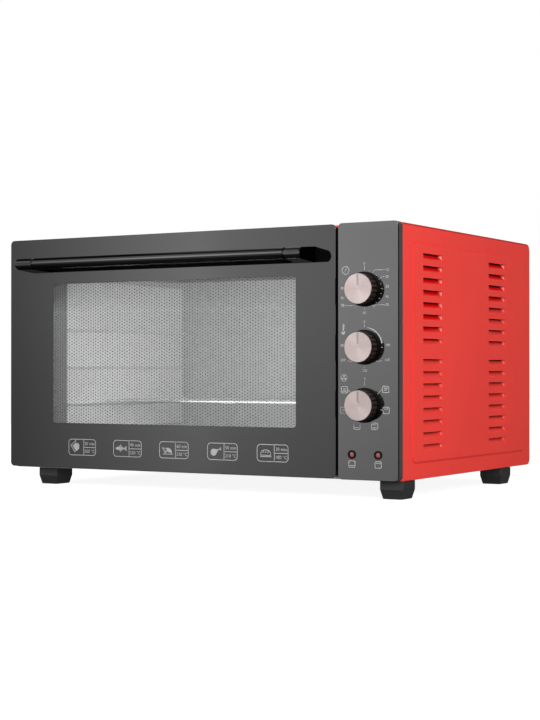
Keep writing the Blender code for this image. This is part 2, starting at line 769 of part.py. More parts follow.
def rear_panel():
    outline = rectangle(
        CASE_LEFT + SHEET + CLEARANCE,
        CASE_RIGHT - SHEET - CLEARANCE,
        CASE_BOTTOM + CASE_CORNER_RADIUS,
        CASE_TOP - CASE_CORNER_RADIUS,
    )
    holes = [circle((GLAND_X, GLAND_Z), GLAND_BARREL_RADIUS + CLEARANCE)]
    row_width = (VENTS_IN_ROW - 1) * VENT_PITCH
    upper_row = CASE_TOP - VENT_TOP_MARGIN - VENT_LENGTH
    for row in range(2):
        low = upper_row - row * (VENT_LENGTH + VENT_ROW_GAP)
        for index in range(VENTS_IN_ROW):
            middle = index * VENT_PITCH - row_width / 2
            span = (middle - VENT_WIDTH / 2, middle + VENT_WIDTH / 2)
            holes.append(rounded_rectangle(*span, low, low + VENT_LENGTH, VENT_WIDTH / 2, VENT_END_STEPS))
    panel = extruded("rear_panel", [outline] + holes, REAR_PLATE_FRONT, REAR_PLATE_BACK, "front")
    finish(panel, "galvanised_steel")


def arm_spans():
    """The X span of each quadrant arm, the left one first."""
    left = DOOR_LEFT + ARM_MARGIN
    right = DOOR_RIGHT - ARM_MARGIN
    return (left, left + ARM_THICKNESS), (right - ARM_THICKNESS, right)


def arm_height(radius, y):
    """The height at which a circle round the hinge axis crosses a plane."""
    return HINGE_Z + math.sqrt(radius**2 - (y - HINGE_Y) ** 2)


def front_frame():
    inset = SHEET + CLEARANCE
    outline = rectangle(
        CASE_LEFT + inset, CASE_RIGHT - inset, CASE_BOTTOM + inset, CASE_TOP - inset
    )
    holes = [mouth_outline(0)]
    for z in (TIMER_Z, THERMOSTAT_Z, FUNCTION_Z):
        holes.append(circle((KNOB_X, z), SHAFT_HOLE_RADIUS))
    for x in LAMP_XS:
        holes.append(circle((x, LAMP_Z), LAMP_BARREL_RADIUS + CLEARANCE))
    low = arm_height(ARM_RADIUS - ARM_WIDTH / 2, FRAME_REAR) - ARM_SLOT_GAP
    high = arm_height(ARM_RADIUS + ARM_WIDTH / 2, FRAME_FRONT) + ARM_SLOT_GAP
    for left, right in arm_spans():
        holes.append(rectangle(left - ARM_SLOT_GAP, right + ARM_SLOT_GAP, low, high))
    gap = NOSE_SIDE_GAP
    for left, right in nose_spans():
        reach = NOSE_RADIUS + gap
        holes.append(rectangle(left - gap, right + gap, HINGE_Z - reach, HINGE_Z + reach))
    frame = extruded("front_frame", [outline] + holes, FRAME_FRONT, FRAME_REAR, "front")
    finish(frame, "black_steel")


def heater_holes(name, low, high, grow):
    """Rods across the four places where the heaters pass through a wall."""
    for z in (UPPER_HEATER_Z, LOWER_HEATER_Z):
        for y in HEATER_YS:
            yield cylinder(name, (y, z), HEATER_RADIUS + grow, low, high, "side", HEATER_HOLE_SEGMENTS)


def cavity_liner():
    liner = extruded("cavity_liner", [mouth_outline(SHEET)], LINER_FRONT, LINER_REAR, "front")
    flange_rear = LINER_FRONT + SHEET
    flange_outlines = [mouth_outline(LINER_FLANGE), mouth_outline(SHEET / 2)]
    flange = extruded("cavity_liner", flange_outlines, LINER_FRONT, flange_rear, "front")
    join(liner, flange)
    cut(
        liner,
        extruded("cavity_liner", [mouth_outline(0)], LINER_FRONT - OVERRUN, LINER_REAR - SHEET, "front"),
        *heater_holes("cavity_liner", MOUTH_RIGHT - OVERRUN, MOUTH_RIGHT + OVERRUN, CLEARANCE),
        cylinder(
            "cavity_liner",
            (CAPILLARY_Y, BULB_Z),
            CAPILLARY_RADIUS + CLEARANCE,
            MOUTH_RIGHT - OVERRUN,
            MOUTH_RIGHT + OVERRUN,
            "side",
            HEATER_HOLE_SEGMENTS,
        ),
    )
    finish(liner, "galvanised_steel")


def partition():
    inset = SHEET + CLEARANCE
    profile = case_profile(
        LINER_FRONT,
        REAR_PLATE_FRONT - CLEARANCE,
        CASE_BOTTOM + inset,
        CASE_TOP - inset,
        CASE_CORNER_RADIUS,
    )
    capillary = circle((CAPILLARY_Y, BULB_Z), CAPILLARY_RADIUS + CLEARANCE, HEATER_HOLE_SEGMENTS)
    holes = [capillary]
    for z in (UPPER_HEATER_Z, LOWER_HEATER_Z):
        for y in HEATER_YS:
            holes.append(circle((y, z), HEATER_RADIUS + CLEARANCE, HEATER_HOLE_SEGMENTS))
    wall = extruded("partition", [profile] + holes, PARTITION_LEFT, PARTITION_RIGHT, "side")
    finish(wall, "galvanised_steel")


def rib_tops():
    return [MOUTH_BOTTOM + RIB_LEVEL + index * RIB_PITCH for index in range(RIBS_EACH_SIDE)]


def rack_guide(name, side):
    """A sheet on the cavity's side wall with ribs that carry the rack; side is -1 on the left."""
    wall = MOUTH_LEFT if side < 0 else MOUTH_RIGHT
    near = wall - side * CLEARANCE
    face = near - side * SHEET
    crest = face - side * RIB_PROUD
    front = LINER_FRONT + GUIDE_FRONT_MARGIN
    rear = LINER_REAR - SHEET - GUIDE_REAR_MARGIN
    low = MOUTH_BOTTOM + GUIDE_END_MARGIN
    high = MOUTH_TOP - GUIDE_END_MARGIN
    guide = extruded(name, [rectangle(front, rear, low, high)], min(near, face), max(near, face), "side")
    root = (near + face) / 2
    for top in rib_tops():
        low = top - RIB_HEIGHT
        rib = [(root, top), (crest, top), (crest, top - SHEET), (face, low), (root, low)]
        join(guide, extruded(name, [rib], front + CLEARANCE, rear - CLEARANCE, "front"))
    finish(guide, "bright_wire")


def rack_span():
    """The rack's outer left, right, front and rear."""
    reach = CLEARANCE + SHEET + RACK_SIDE_GAP
    return (
        MOUTH_LEFT + reach,
        MOUTH_RIGHT - reach,
        LINER_FRONT + RACK_FRONT_MARGIN,
        LINER_REAR - SHEET - RACK_REAR_MARGIN,
    )


def wire_rack(parent):
    left, right, front, rear = rack_span()
    rod = RACK_ROD_RADIUS
    outline = rounded_rectangle(left + rod, right - rod, front + rod, rear - rod, RACK_CORNER_RADIUS)
    rack = tube("wire_rack", [(x, y, RACK_Z) for x, y in outline], rod, closed=True)
    spacing = (right - left - 2 * rod) / (RACK_WIRES + 1)
    for index in range(RACK_WIRES):
        x = left + rod + (index + 1) * spacing
        ends = [(x, front + rod, RACK_Z), (x, rear - rod, RACK_Z)]
        join(rack, tube("wire_rack", ends, RACK_WIRE_RADIUS, sides=1))
    middle = (front + rear) / 2
    bar = [(left + rod, middle, RACK_Z), (right - rod, middle, RACK_Z)]
    join(rack, tube("wire_rack", bar, rod))
    finish(rack, "bright_wire", parent=parent)


def crumb_tray():
    left = MOUTH_LEFT + TRAY_MARGIN
    right = MOUTH_RIGHT - TRAY_MARGIN
    front = LINER_FRONT + TRAY_MARGIN
    rear = LINER_REAR - SHEET - TRAY_MARGIN
    low = MOUTH_BOTTOM + CLEARANCE
    top = low + TRAY_HEIGHT
    tray = box("crumb_tray", (left, front, low), (right, rear, top))
    inner = TRAY_SHEET
    start = (left + inner, front + inner, low + inner)
    end = (right - inner, rear - inner, top + OVERRUN)
    cut(tray, box("crumb_tray", start, end))
    finish(tray, "galvanised_steel")


def heater(name, z):
    """A U of sheathed tube: two runs across the cavity, with their tails through the right wall."""
    left = MOUTH_LEFT + HEATER_LEFT_MARGIN
    front, rear = HEATER_YS
    quarter = math.pi / 2
    turn = HEATER_BEND
    bend = arc((left + turn, front + turn), turn, 3 * quarter, 2 * quarter, HEATER_BEND_STEPS)
    bend += arc((left + turn, rear - turn), turn, 2 * quarter, quarter, HEATER_BEND_STEPS)
    path = [(HEATER_END, front)] + bend + [(HEATER_END, rear)]
    made = tube(name, [(x, y, z) for x, y in path], HEATER_RADIUS)
    finish(made, "heater_sheath", smooth=True)


def led_path(start, start_way, end, end_way, lead):
    """A smooth route between two points with a straight lead at each end, along the two ways."""
    start, end = Vector(start), Vector(end)
    first = start + Vector(start_way) * lead
    last = end + Vector(end_way) * lead
    pull = (last - first).length * BEND_SHARE
    handles = first + Vector(start_way) * pull, last + Vector(end_way) * pull
    middle = interpolate_bezier(first, *handles, last, WIRE_STEPS)
    return [tuple(point) for point in [start, *middle, end]]


def thermostat_bulb():
    """The sensing bulb along the cavity's right wall, with its fine tube back to the thermostat."""
    start_x = KNOB_X - THERMOSTAT_WIDTH / 2 - CLEARANCE
    start_y = LINER_FRONT + THERMOSTAT_DEPTH / 2
    inside = MOUTH_RIGHT - BULB_WALL_GAP
    start = (start_x, start_y, THERMOSTAT_Z)
    through = (PARTITION_RIGHT, CAPILLARY_Y, BULB_Z)
    outside = led_path(start, LEFTWARD, through, RIGHTWARD, CAPILLARY_LEAD)
    bend = BULB_WALL_GAP - CAPILLARY_LEAD / 2
    corner = arc((inside + bend, CAPILLARY_Y + bend), bend, 3 * math.pi / 2, math.pi, CORNER_STEPS)
    inside_path = [(x, y, BULB_Z) for x, y in corner]
    bulb_start = CAPILLARY_Y + BULB_LEAD
    bulb = [(inside, bulb_start, BULB_Z), (inside, bulb_start + BULB_RADIUS, BULB_Z)]
    bulb += [(inside, bulb_start + BULB_LENGTH, BULB_Z)]
    path = outside + inside_path + bulb
    thick = BULB_RADIUS / CAPILLARY_RADIUS
    shares = [1] * (len(path) - 2) + [thick] * 2
    made = tube("thermostat_bulb", path, CAPILLARY_RADIUS, radius_shares=shares)
    finish(made, "bright_wire", smooth=True)


def mouth_seal():
    outlines = [mouth_outline(SEAL_INSET + SEAL_WIDTH), mouth_outline(SEAL_INSET)]
    seal = extruded("mouth_seal", outlines, DOOR_FRAME_REAR + CLEARANCE, FRAME_FRONT - CLEARANCE, "front")
    finish(seal, "silicone_grey")


def handle_screw_xs():
    left = HANDLE_LEFT + HANDLE_LEFT_END / 2
    right = HANDLE_RIGHT - HANDLE_RIGHT_END / 2
    return left, right


def outer_door_glass(parent):
    outline = rounded_rectangle(DOOR_LEFT, DOOR_RIGHT, DOOR_BOTTOM, DOOR_TOP, DOOR_CORNER_RADIUS)
    glass = extruded("outer_door_glass", [outline], FACE_Y, GLASS_REAR, "front")
    round_edges(glass, GLASS_EDGE, angle=math.radians(60))
    ends = (FACE_Y - OVERRUN, GLASS_REAR + OVERRUN)
    hole_radius = SCREW_RADIUS + CLEARANCE
    for x in handle_screw_xs():
        cut(glass, cylinder("outer_door_glass", (x, HANDLE_Z), hole_radius, *ends, "front", PIN_SEGMENTS))
    finish(glass, "black_glass", parent=parent)


def window_outline(grow):
    """The window's outline, made larger all round by a given amount."""
    return rounded_rectangle(
        WINDOW_LEFT - grow,
        WINDOW_RIGHT + grow,
        WINDOW_BOTTOM - grow,
        WINDOW_TOP + grow,
        WINDOW_RADIUS,
    )


def door_frame(parent):
    inset = DOOR_FRAME_INSET
    low = DOOR_BOTTOM + DOOR_FRAME_LIFT
    outline = rounded_rectangle(
        DOOR_LEFT + inset, DOOR_RIGHT - inset, low, DOOR_TOP - inset, DOOR_CORNER_RADIUS - inset
    )
    outlines = [outline, window_outline(WINDOW_LAP)]
    head = SCREW_HEAD_RADIUS + NOSE_SIDE_GAP
    outlines += [circle((x, HANDLE_Z), head) for x in handle_screw_xs()]
    frame = extruded("door_frame", outlines, DOOR_FRAME_FRONT, DOOR_FRAME_REAR, "front")
    rebate = window_outline(WINDOW_LAP + INNER_GLASS_LAP + CLEARANCE)
    sink = INNER_GLASS_THICKNESS + INNER_GLASS_SINK + CLEARANCE
    cut(frame, extruded("door_frame", [rebate], DOOR_FRAME_REAR - sink, DOOR_FRAME_REAR + OVERRUN, "front"))
    wall = DOOR_FRAME_SHEET
    side = inset + wall
    low = HINGE_Z + NOSE_RADIUS + NOSE_SIDE_GAP + wall
    pocket = [
        rectangle(DOOR_LEFT + side, DOOR_RIGHT - side, low, DOOR_TOP - side),
        window_outline(WINDOW_LAP + INNER_GLASS_LAP + CLEARANCE + wall),
    ]
    cut(frame, extruded("door_frame", pocket, DOOR_FRAME_FRONT - OVERRUN, DOOR_FRAME_REAR - wall, "front"))
    gap = NOSE_SIDE_GAP
    pin_hole = PIN_LENGTH / 2 + CLEARANCE
    for left, right in nose_spans():
        low = (left - gap, DOOR_FRAME_FRONT - OVERRUN, DOOR_BOTTOM - OVERRUN)
        high = (right + gap, DOOR_FRAME_REAR + OVERRUN, HINGE_Z + NOSE_RADIUS + gap)
        middle = (left + right) / 2
        ends = (middle - pin_hole, middle + pin_hole)
        hole_radius = PIN_RADIUS + CLEARANCE
        cut(frame, box("door_frame", low, high))
        cut(frame, cylinder("door_frame", (HINGE_Y, HINGE_Z), hole_radius, *ends, "side", PIN_SEGMENTS))
    finish(frame, "black_steel", parent=parent)


def inner_door_glass(parent):
    rear = DOOR_FRAME_REAR - INNER_GLASS_SINK
    outline = window_outline(WINDOW_LAP + INNER_GLASS_LAP)
    glass = extruded("inner_door_glass", [outline], rear - INNER_GLASS_THICKNESS, rear, "front")
    finish(glass, "clear_glass", parent=parent)


def hinge_bracket(name, nose, outward):
    """A web with a nose round the hinge pin, and a flange on the front frame; outward is -1 on the left."""
    left, right = nose
    low = HINGE_Z - NOSE_RADIUS
    top = CASE_BOTTOM + BRACKET_HEIGHT
    rear = LINER_FRONT + BRACKET_DEPTH
    quarter = math.pi / 2
    profile = arc((HINGE_Y, HINGE_Z), NOSE_RADIUS, quarter, 3 * quarter, CORNER_STEPS * 2)
    profile += [(rear, low), (rear, top), (LINER_FRONT, top), (LINER_FRONT, HINGE_Z + NOSE_RADIUS)]
    pin_hole = circle((HINGE_Y, HINGE_Z), PIN_RADIUS + CLEARANCE, PIN_SEGMENTS)
    bracket = extruded(name, [profile, pin_hole], left, right, "side")
    outer = left if outward < 0 else right
    flange_tip = outer + outward * (BRACKET_FLANGE - NOSE_THICKNESS)
    ends = sorted((outer - outward * NOSE_THICKNESS / 2, flange_tip))
    flange_low = (ends[0], LINER_FRONT, HINGE_Z + NOSE_RADIUS + BRACKET_STEP)
    flange_high = (ends[1], LINER_FRONT + BRACKET_SHEET, top - BRACKET_STEP)
    join(bracket, box(name, flange_low, flange_high))
    finish(bracket, "galvanised_steel")


def hinge_pin(name, nose, parent):
    middle = sum(nose) / 2
    ends = (middle - PIN_LENGTH / 2, middle + PIN_LENGTH / 2)
    pin = cylinder(name, (HINGE_Y, HINGE_Z), PIN_RADIUS, *ends, "side", PIN_SEGMENTS)
    finish(pin, "bright_wire", smooth=True, parent=parent)


def check_arm(name, span, parent):
    """A quadrant round the hinge axis that runs back through the front frame, with a tab on the door."""
    left, right = span
    start = math.pi / 2 - ARM_START_ANGLE
    end = math.pi / 2 - ARM_END_ANGLE
    centre = (HINGE_Y, HINGE_Z)
    outline = arc(centre, ARM_RADIUS + ARM_WIDTH / 2, start, end, ARM_STEPS)
    outline += arc(centre, ARM_RADIUS - ARM_WIDTH / 2, end, start, ARM_STEPS)
    arm = extruded(name, [outline], left, right, "side")
    middle = (left + right) / 2
    front = DOOR_FRAME_REAR + CLEARANCE
    height = HINGE_Z + ARM_RADIUS
    low = (middle - ARM_TAB_WIDTH / 2, front, height - ARM_TAB_HEIGHT / 2)
    high = (middle + ARM_TAB_WIDTH / 2, front + ARM_TAB_THICKNESS, height + ARM_TAB_HEIGHT / 2)
    join(arm, box(name, low, high))
    finish(arm, "galvanised_steel", parent=parent)


def handle_tube(parent):
    left = HANDLE_LEFT + HANDLE_LEFT_END + HANDLE_SEAM
    right = HANDLE_RIGHT - HANDLE_RIGHT_END - HANDLE_SEAM
    centre = (HANDLE_Y, HANDLE_Z)
    outside = circle(centre, HANDLE_RADIUS, HANDLE_STEPS)
    inside = circle(centre, HANDLE_RADIUS - HANDLE_WALL, HANDLE_STEPS)
    bar = extruded("handle_tube", [outside, inside], left, right, "side")
    finish(bar, "gloss_black", smooth=True, parent=parent)


def handle_end_sections(left, right, outward):
    """Rounded sections of a handle end, from the door's glass to the front of the bar."""
    reach = HANDLE_REACH - HANDLE_RADIUS
    depths = [CLEARANCE + (reach - CLEARANCE) * share for share in HANDLE_SECTION_SHARES]
    sections = []
    for depth in depths:
        spread = 1 - depth / reach
        half = HANDLE_RADIUS + HANDLE_FLARE * spread
        widen = HANDLE_INNER_FLARE * max(0, 1 - depth / (reach - HANDLE_RADIUS)) ** 2
        ends = (left, right + widen) if outward < 0 else (left - widen, right)
        sections.append((FACE_Y - depth, *ends, half))
    for step in range(1, HANDLE_NOSE_STEPS):
        angle = math.pi / 2 * step / HANDLE_NOSE_STEPS
        half = HANDLE_RADIUS * math.cos(angle)
        sections.append((FACE_Y - reach - HANDLE_RADIUS * math.sin(angle), left, right, half))
    return sections


def handle_end(name, left, right, outward, parent):
    """A loft from a broad foot on the glass to the round end of the bar; outward is -1 on the left."""
    rings = []
    for y, x_low, x_high, half in handle_end_sections(left, right, outward):
        radius = min(HANDLE_END_ROUND, half * HANDLE_ROUND_SHARE)
        outline = rounded_rectangle(x_low, x_high, HANDLE_Z - half, HANDLE_Z + half, radius)
        rings.append([(x, y, z) for x, z in outline])
    end = lofted(name, rings)
    inner = right if outward < 0 else left
    spigot = sorted((inner + outward * SCREW_RADIUS, inner - outward * HANDLE_SPIGOT))
    spigot_radius = HANDLE_RADIUS - HANDLE_WALL - CLEARANCE
    join(end, cylinder(name, (HANDLE_Y, HANDLE_Z), spigot_radius, *spigot, "side"))
    screw = ((left + right) / 2, HANDLE_Z)
    bore = (FACE_Y - SCREW_DEPTH - CLEARANCE, FACE_Y + OVERRUN)
    cut(end, cylinder(name, screw, SCREW_RADIUS + CLEARANCE, *bore, "front", PIN_SEGMENTS))
    finish(end, "gloss_black", smooth=True, parent=parent)


def handle_screw(name, x, parent):
    head_front = GLASS_REAR + CLEARANCE
    head_rear = head_front + SCREW_HEAD_THICKNESS
    profile = [
        (0, head_rear - SCREW_DRIVE_DEPTH),
        (SCREW_RADIUS * SCREW_DRIVE_SHARE, head_rear - SCREW_DRIVE_DEPTH),
        (SCREW_RADIUS, head_rear),
        (SCREW_HEAD_RADIUS, head_rear),
        (SCREW_HEAD_RADIUS, head_front),
        (SCREW_RADIUS, head_front),
        (SCREW_RADIUS, FACE_Y - SCREW_DEPTH),
        (0, FACE_Y - SCREW_DEPTH),
    ]
    screw = turned(name, profile, (x, 0, HANDLE_Z), (-math.pi / 2, 0, 0), PIN_SEGMENTS)
    finish(screw, "bright_wire", parent=parent)


def fascia_outlines():
    outline = rounded_rectangle(FASCIA_LEFT, FASCIA_RIGHT, FASCIA_BOTTOM, FASCIA_TOP, FASCIA_CORNER_RADIUS)
    holes = [circle((KNOB_X, z), SHAFT_HOLE_RADIUS) for z in (TIMER_Z, THERMOSTAT_Z, FUNCTION_Z)]
    holes += [circle((x, LAMP_Z), LAMP_BARREL_RADIUS + CLEARANCE) for x in LAMP_XS]
    return [outline] + holes


def fascia_glass():
    rear = FACE_Y + FASCIA_GLASS_THICKNESS
    outline, *holes = fascia_outlines()
    glass = extruded("fascia_glass", [outline], FACE_Y, rear, "front")
    round_edges(glass, GLASS_EDGE, angle=math.radians(60))
    for hole in holes:
        cut(glass, extruded("fascia_glass", [hole], FACE_Y - OVERRUN, rear + OVERRUN, "front"))
    finish(glass, "black_glass")


def fascia_frame():
    front = FACE_Y + FASCIA_GLASS_THICKNESS + CLEARANCE
    rear = CASE_FRONT - CLEARANCE
    frame = extruded("fascia_frame", fascia_outlines(), front, rear, "front")
    wall = FASCIA_WALL
    hollow = rounded_rectangle(
        FASCIA_LEFT + wall,
        FASCIA_RIGHT - wall,
        FASCIA_BOTTOM + wall,
        FASCIA_TOP - wall,
        FASCIA_CORNER_RADIUS - wall,
    )
    cut(frame, extruded("fascia_frame", [hollow], front + wall, rear + OVERRUN, "front"))
    finish(frame, "matte_black")


def flatted_circle(centre, radius, flat):
    """A circle with one flat, which faces up, at a given distance from its middle."""
    half = math.acos(flat / radius)
    return arc(centre, radius, math.pi / 2 + half, math.pi / 2 + math.tau - half, SHAFT_STEPS)


def control_shaft(name, z, parent):
    low = FACE_Y - KNOB_STANDOFF - KNOB_BORE_DEPTH + CLEARANCE
    high = LINER_FRONT + SHAFT_SINK
    shaft = extruded(name, [flatted_circle((KNOB_X, z), SHAFT_RADIUS, SHAFT_FLAT)], low, high, "front")
    finish(shaft, "matte_black", smooth=True, parent=parent)


def ribbed_outline(centre):
    """The knob's grip: flat-topped ribs all the way round."""
    points = []
    for index in range(KNOB_RIBS):
        start = math.tau * index / KNOB_RIBS
        for share, radius in (
            (0, KNOB_RADIUS - KNOB_RIB_DEPTH),
            (KNOB_RIB_SHARES[0], KNOB_RADIUS - KNOB_RIB_DEPTH),
            (KNOB_RIB_SHARES[1], KNOB_RADIUS),
            (KNOB_RIB_SHARES[2], KNOB_RADIUS),
        ):
            angle = start + share * math.tau / KNOB_RIBS
            points.append((centre[0] + radius * math.cos(angle), centre[1] + radius * math.sin(angle)))
    return points


def control_knob(name, z, parent):
    centre = (KNOB_X, z)
    rear = FACE_Y - KNOB_STANDOFF
    flange_front = rear - KNOB_FLANGE_THICKNESS
    front = FACE_Y - KNOB_FACE_REACH + CAP_THICKNESS + CLEARANCE
    knob = extruded(name, [circle(centre, KNOB_FLANGE_RADIUS, KNOB_STEPS)], flange_front, rear, "front")
    round_edges(knob, KNOB_EDGE)
    join(knob, extruded(name, [ribbed_outline(centre)], front, rear - KNOB_FLANGE_THICKNESS / 2, "front"))
    bore = flatted_circle(centre, SHAFT_RADIUS + CLEARANCE, SHAFT_FLAT + CLEARANCE)
    cut(knob, extruded(name, [bore], rear - KNOB_BORE_DEPTH, rear + OVERRUN, "front"))
    finish(knob, "matte_black", parent=parent)


def knob_cap(name, z, parent):
    """The turned metal disc on a knob, with its engraved pointer mark."""
    front = FACE_Y - KNOB_FACE_REACH
    cap = cylinder(name, (KNOB_X, z), CAP_RADIUS, front, front + CAP_THICKNESS, "front", KNOB_STEPS)
    round_edges(cap, CAP_EDGE)
    low = (KNOB_X - MARK_WIDTH / 2, front - OVERRUN, z + CAP_RADIUS - MARK_LENGTH)
    high = (KNOB_X + MARK_WIDTH / 2, front + MARK_DEPTH, z + CAP_RADIUS + OVERRUN)
    cut(cap, box(name, low, high))
    finish(cap, "rose_aluminium", parent=parent)


def shaft_bore(name, z):
    """The tool that leaves room for a control's shaft in its body."""
    ends = (LINER_FRONT - OVERRUN, LINER_FRONT + SHAFT_SINK + CLEARANCE)
    return cylinder(name, (KNOB_X, z), SHAFT_RADIUS + CLEARANCE, *ends, "front")


def control_block(name, z, width, height, depth):
    outline = rounded_rectangle(
        KNOB_X - width / 2, KNOB_X + width / 2, z - height / 2, z + height / 2, CONTROL_CORNER_RADIUS
    )
    return extruded(name, [outline], LINER_FRONT, LINER_FRONT + depth, "front")


def timer():
    body = control_block("timer", TIMER_Z, TIMER_SIDE, TIMER_SIDE, TIMER_DEPTH)
    rear = LINER_FRONT + TIMER_DEPTH
    bell = cylinder("timer", (KNOB_X, TIMER_Z), BELL_RADIUS, rear - SHEET, rear + BELL_DEPTH, "front")
    round_edges(bell, BELL_DEPTH / 3, 2)
    join(body, bell)
    cut(body, shaft_bore("timer", TIMER_Z))
    finish(body, "galvanised_steel")


def thermostat():
    z = THERMOSTAT_Z
    body = control_block("thermostat", z, THERMOSTAT_WIDTH, THERMOSTAT_HEIGHT, THERMOSTAT_DEPTH)
    rear = LINER_FRONT + THERMOSTAT_DEPTH
    boss_radius = THERMOSTAT_HEIGHT / 3
    join(body, cylinder("thermostat", (KNOB_X, z), boss_radius, rear - SHEET, rear + SHEET * 2, "front"))
    cut(body, shaft_bore("thermostat", z))
    finish(body, "galvanised_steel")


def tab_xs():
    """The X places of the tabs on the function switch."""
    spacing = SWITCH_SIDE / (SWITCH_TABS + 1)
    return [KNOB_X - SWITCH_SIDE / 2 + (index + 1) * spacing for index in range(SWITCH_TABS)]


def function_switch():
    body = control_block("function_switch", FUNCTION_Z, SWITCH_SIDE, SWITCH_SIDE, SWITCH_DEPTH)
    rear = LINER_FRONT + SWITCH_DEPTH
    for x in tab_xs():
        low = (x - TAB_THICKNESS / 2, rear - SHEET, FUNCTION_Z - TAB_WIDTH / 2)
        high = (x + TAB_THICKNESS / 2, rear + TAB_LENGTH, FUNCTION_Z + TAB_WIDTH / 2)
        join(body, box("function_switch", low, high))
    cut(body, shaft_bore("function_switch", FUNCTION_Z))
    finish(body, "phenolic_cream")


def indicator(name, x):
    """A lamp housing with its bezel on the fascia glass, and the red lens inside it."""
    outer = FACE_Y - LAMP_BEZEL_THICKNESS - CLEARANCE
    shoulder = FACE_Y - CLEARANCE
    inner = LENS_RADIUS + CLEARANCE
    end = FACE_Y + LAMP_BARREL_LENGTH
    profile = [
        (inner, end),
        (LAMP_BARREL_RADIUS, end),
        (LAMP_BARREL_RADIUS, shoulder),
        (LAMP_RADIUS, shoulder),
        (LAMP_RADIUS, outer),
        (inner, outer),
    ]
    turn = (-math.pi / 2, 0, 0)
    housing = turned(name + "_lamp_housing", profile, (x, 0, LAMP_Z), turn, LAMP_STEPS)
    finish(housing, "gloss_black")
    crown = outer + LENS_CROWN
    lens_profile = [
        (0, end),
        (LENS_RADIUS, end),
        (LENS_RADIUS, crown + LENS_CROWN),
        (LENS_RADIUS * LENS_SHOULDER_SHARE, crown),
        (0, crown - LENS_CROWN / 2),
    ]
    lens = turned(name + "_lamp_lens", lens_profile, (x, 0, LAMP_Z), turn, LAMP_STEPS)
    finish(lens, "lamp_red")


def foot(name, x, y):
    """A moulded foot with straight upper sides, tapered below, and a spigot through the base."""
    top = CASE_BOTTOM - CLEARANCE
    sole = FOOT_SOLE_EDGE
    rings = []
    for z, inset in ((0, FOOT_TAPER + sole), (sole, FOOT_TAPER), (FOOT_TAPER_HEIGHT, 0), (top, 0)):
        ends = (x + inset, x + FOOT_WIDTH - inset, y + inset, y + FOOT_DEPTH - inset)
        outline = rounded_rectangle(*ends, FOOT_EDGE, FOOT_EDGE_STEPS)
        rings.append([(across, along, z) for across, along in outline])
    made = lofted(name, rings)
    spigot = (top - OVERRUN, CASE_BOTTOM + FOOT_SPIGOT_HEIGHT)
    join(made, cylinder(name, spigot_centre(x, y), FOOT_SPIGOT_RADIUS, *spigot, "flat"))
    finish(made, "matte_black")


def cable_gland():
    flange_front = REAR_PLATE_BACK + CLEARANCE
    rear = CASE_REAR + GLAND_PROUD
    inside = REAR_PLATE_FRONT - GLAND_INSIDE
    edge = GLAND_RADIUS - GLAND_BARREL_RADIUS
    profile = [
        (GLAND_BORE, rear),
        (GLAND_BARREL_RADIUS, rear),
        (GLAND_RADIUS, rear - edge),
        (GLAND_RADIUS, flange_front),
        (GLAND_BARREL_RADIUS, flange_front),
        (GLAND_BARREL_RADIUS, inside),
        (GLAND_BORE, inside),
    ]
    finish(turned("cable_gland", profile, (GLAND_X, 0, GLAND_Z), (-math.pi / 2, 0, 0)), "matte_black")


def terminal_zs():
    low = FLOOR_TOP + CLEARANCE
    return low, low + TERMINAL_HEIGHT


def terminal_x(index):
    """The middle of one of the terminal block's three ways."""
    return GLAND_X + (index - 1) * TERMINAL_WIDTH / 3


def terminal_block():
    low, high = terminal_zs()
    rear = TERMINAL_FRONT + TERMINAL_DEPTH
    start = (GLAND_X - TERMINAL_WIDTH / 2, TERMINAL_FRONT, low)
    block = box("terminal_block", start, (GLAND_X + TERMINAL_WIDTH / 2, rear, high))
    for index in range(2):
        wall = (terminal_x(index) + terminal_x(index + 1)) / 2
        groove_low = (wall - TERMINAL_GROOVE / 2, TERMINAL_FRONT - OVERRUN, high - TERMINAL_GROOVE_DEPTH)
        groove_high = (wall + TERMINAL_GROOVE / 2, rear + OVERRUN, high + OVERRUN)
        cut(block, box("terminal_block", groove_low, groove_high))
    for index in range(3):
        centre = (terminal_x(index), TERMINAL_FRONT + TERMINAL_DEPTH / 2)
        ends = (high - TERMINAL_GROOVE_DEPTH / 2, high + OVERRUN)
        cut(block, cylinder("terminal_block", centre, TERMINAL_SCREW_RADIUS, *ends, "flat", PIN_SEGMENTS))
    finish(block, "phenolic_cream")


def wire(name, start, start_way, end, end_way, material):
    path = led_path(start, start_way, end, end_way, WIRE_LEAD)
    finish(tube(name, path, WIRE_RADIUS), material, smooth=True)


def wiring():
    """The wires between the terminal block, the switch and the heaters."""
    low, high = terminal_zs()
    tab_end = LINER_FRONT + SWITCH_DEPTH + TAB_LENGTH + CLEARANCE
    tabs = [(x, tab_end, FUNCTION_Z) for x in tab_xs()]
    ways = [(terminal_x(index), TERMINAL_FRONT - CLEARANCE, (low + high) / 2) for index in range(3)]
    near_run, far_run = HEATER_YS
    end = HEATER_END + CLEARANCE
    wire("supply_wire", ways[2], FORWARD, tabs[3], BACKWARD, "wire_brown")
    upper_near, upper_far = (end, near_run, UPPER_HEATER_Z), (end, far_run, UPPER_HEATER_Z)
    lower_near, lower_far = (end, near_run, LOWER_HEATER_Z), (end, far_run, LOWER_HEATER_Z)
    wire("upper_heater_wire", tabs[1], BACKWARD, upper_near, RIGHTWARD, "wire_brown")
    wire("lower_heater_wire", tabs[0], BACKWARD, lower_near, RIGHTWARD, "wire_brown")
    wire("upper_return_wire", upper_far, RIGHTWARD, ways[1], FORWARD, "wire_blue")
    wire("lower_return_wire", lower_far, RIGHTWARD, ways[0], FORWARD, "wire_blue")


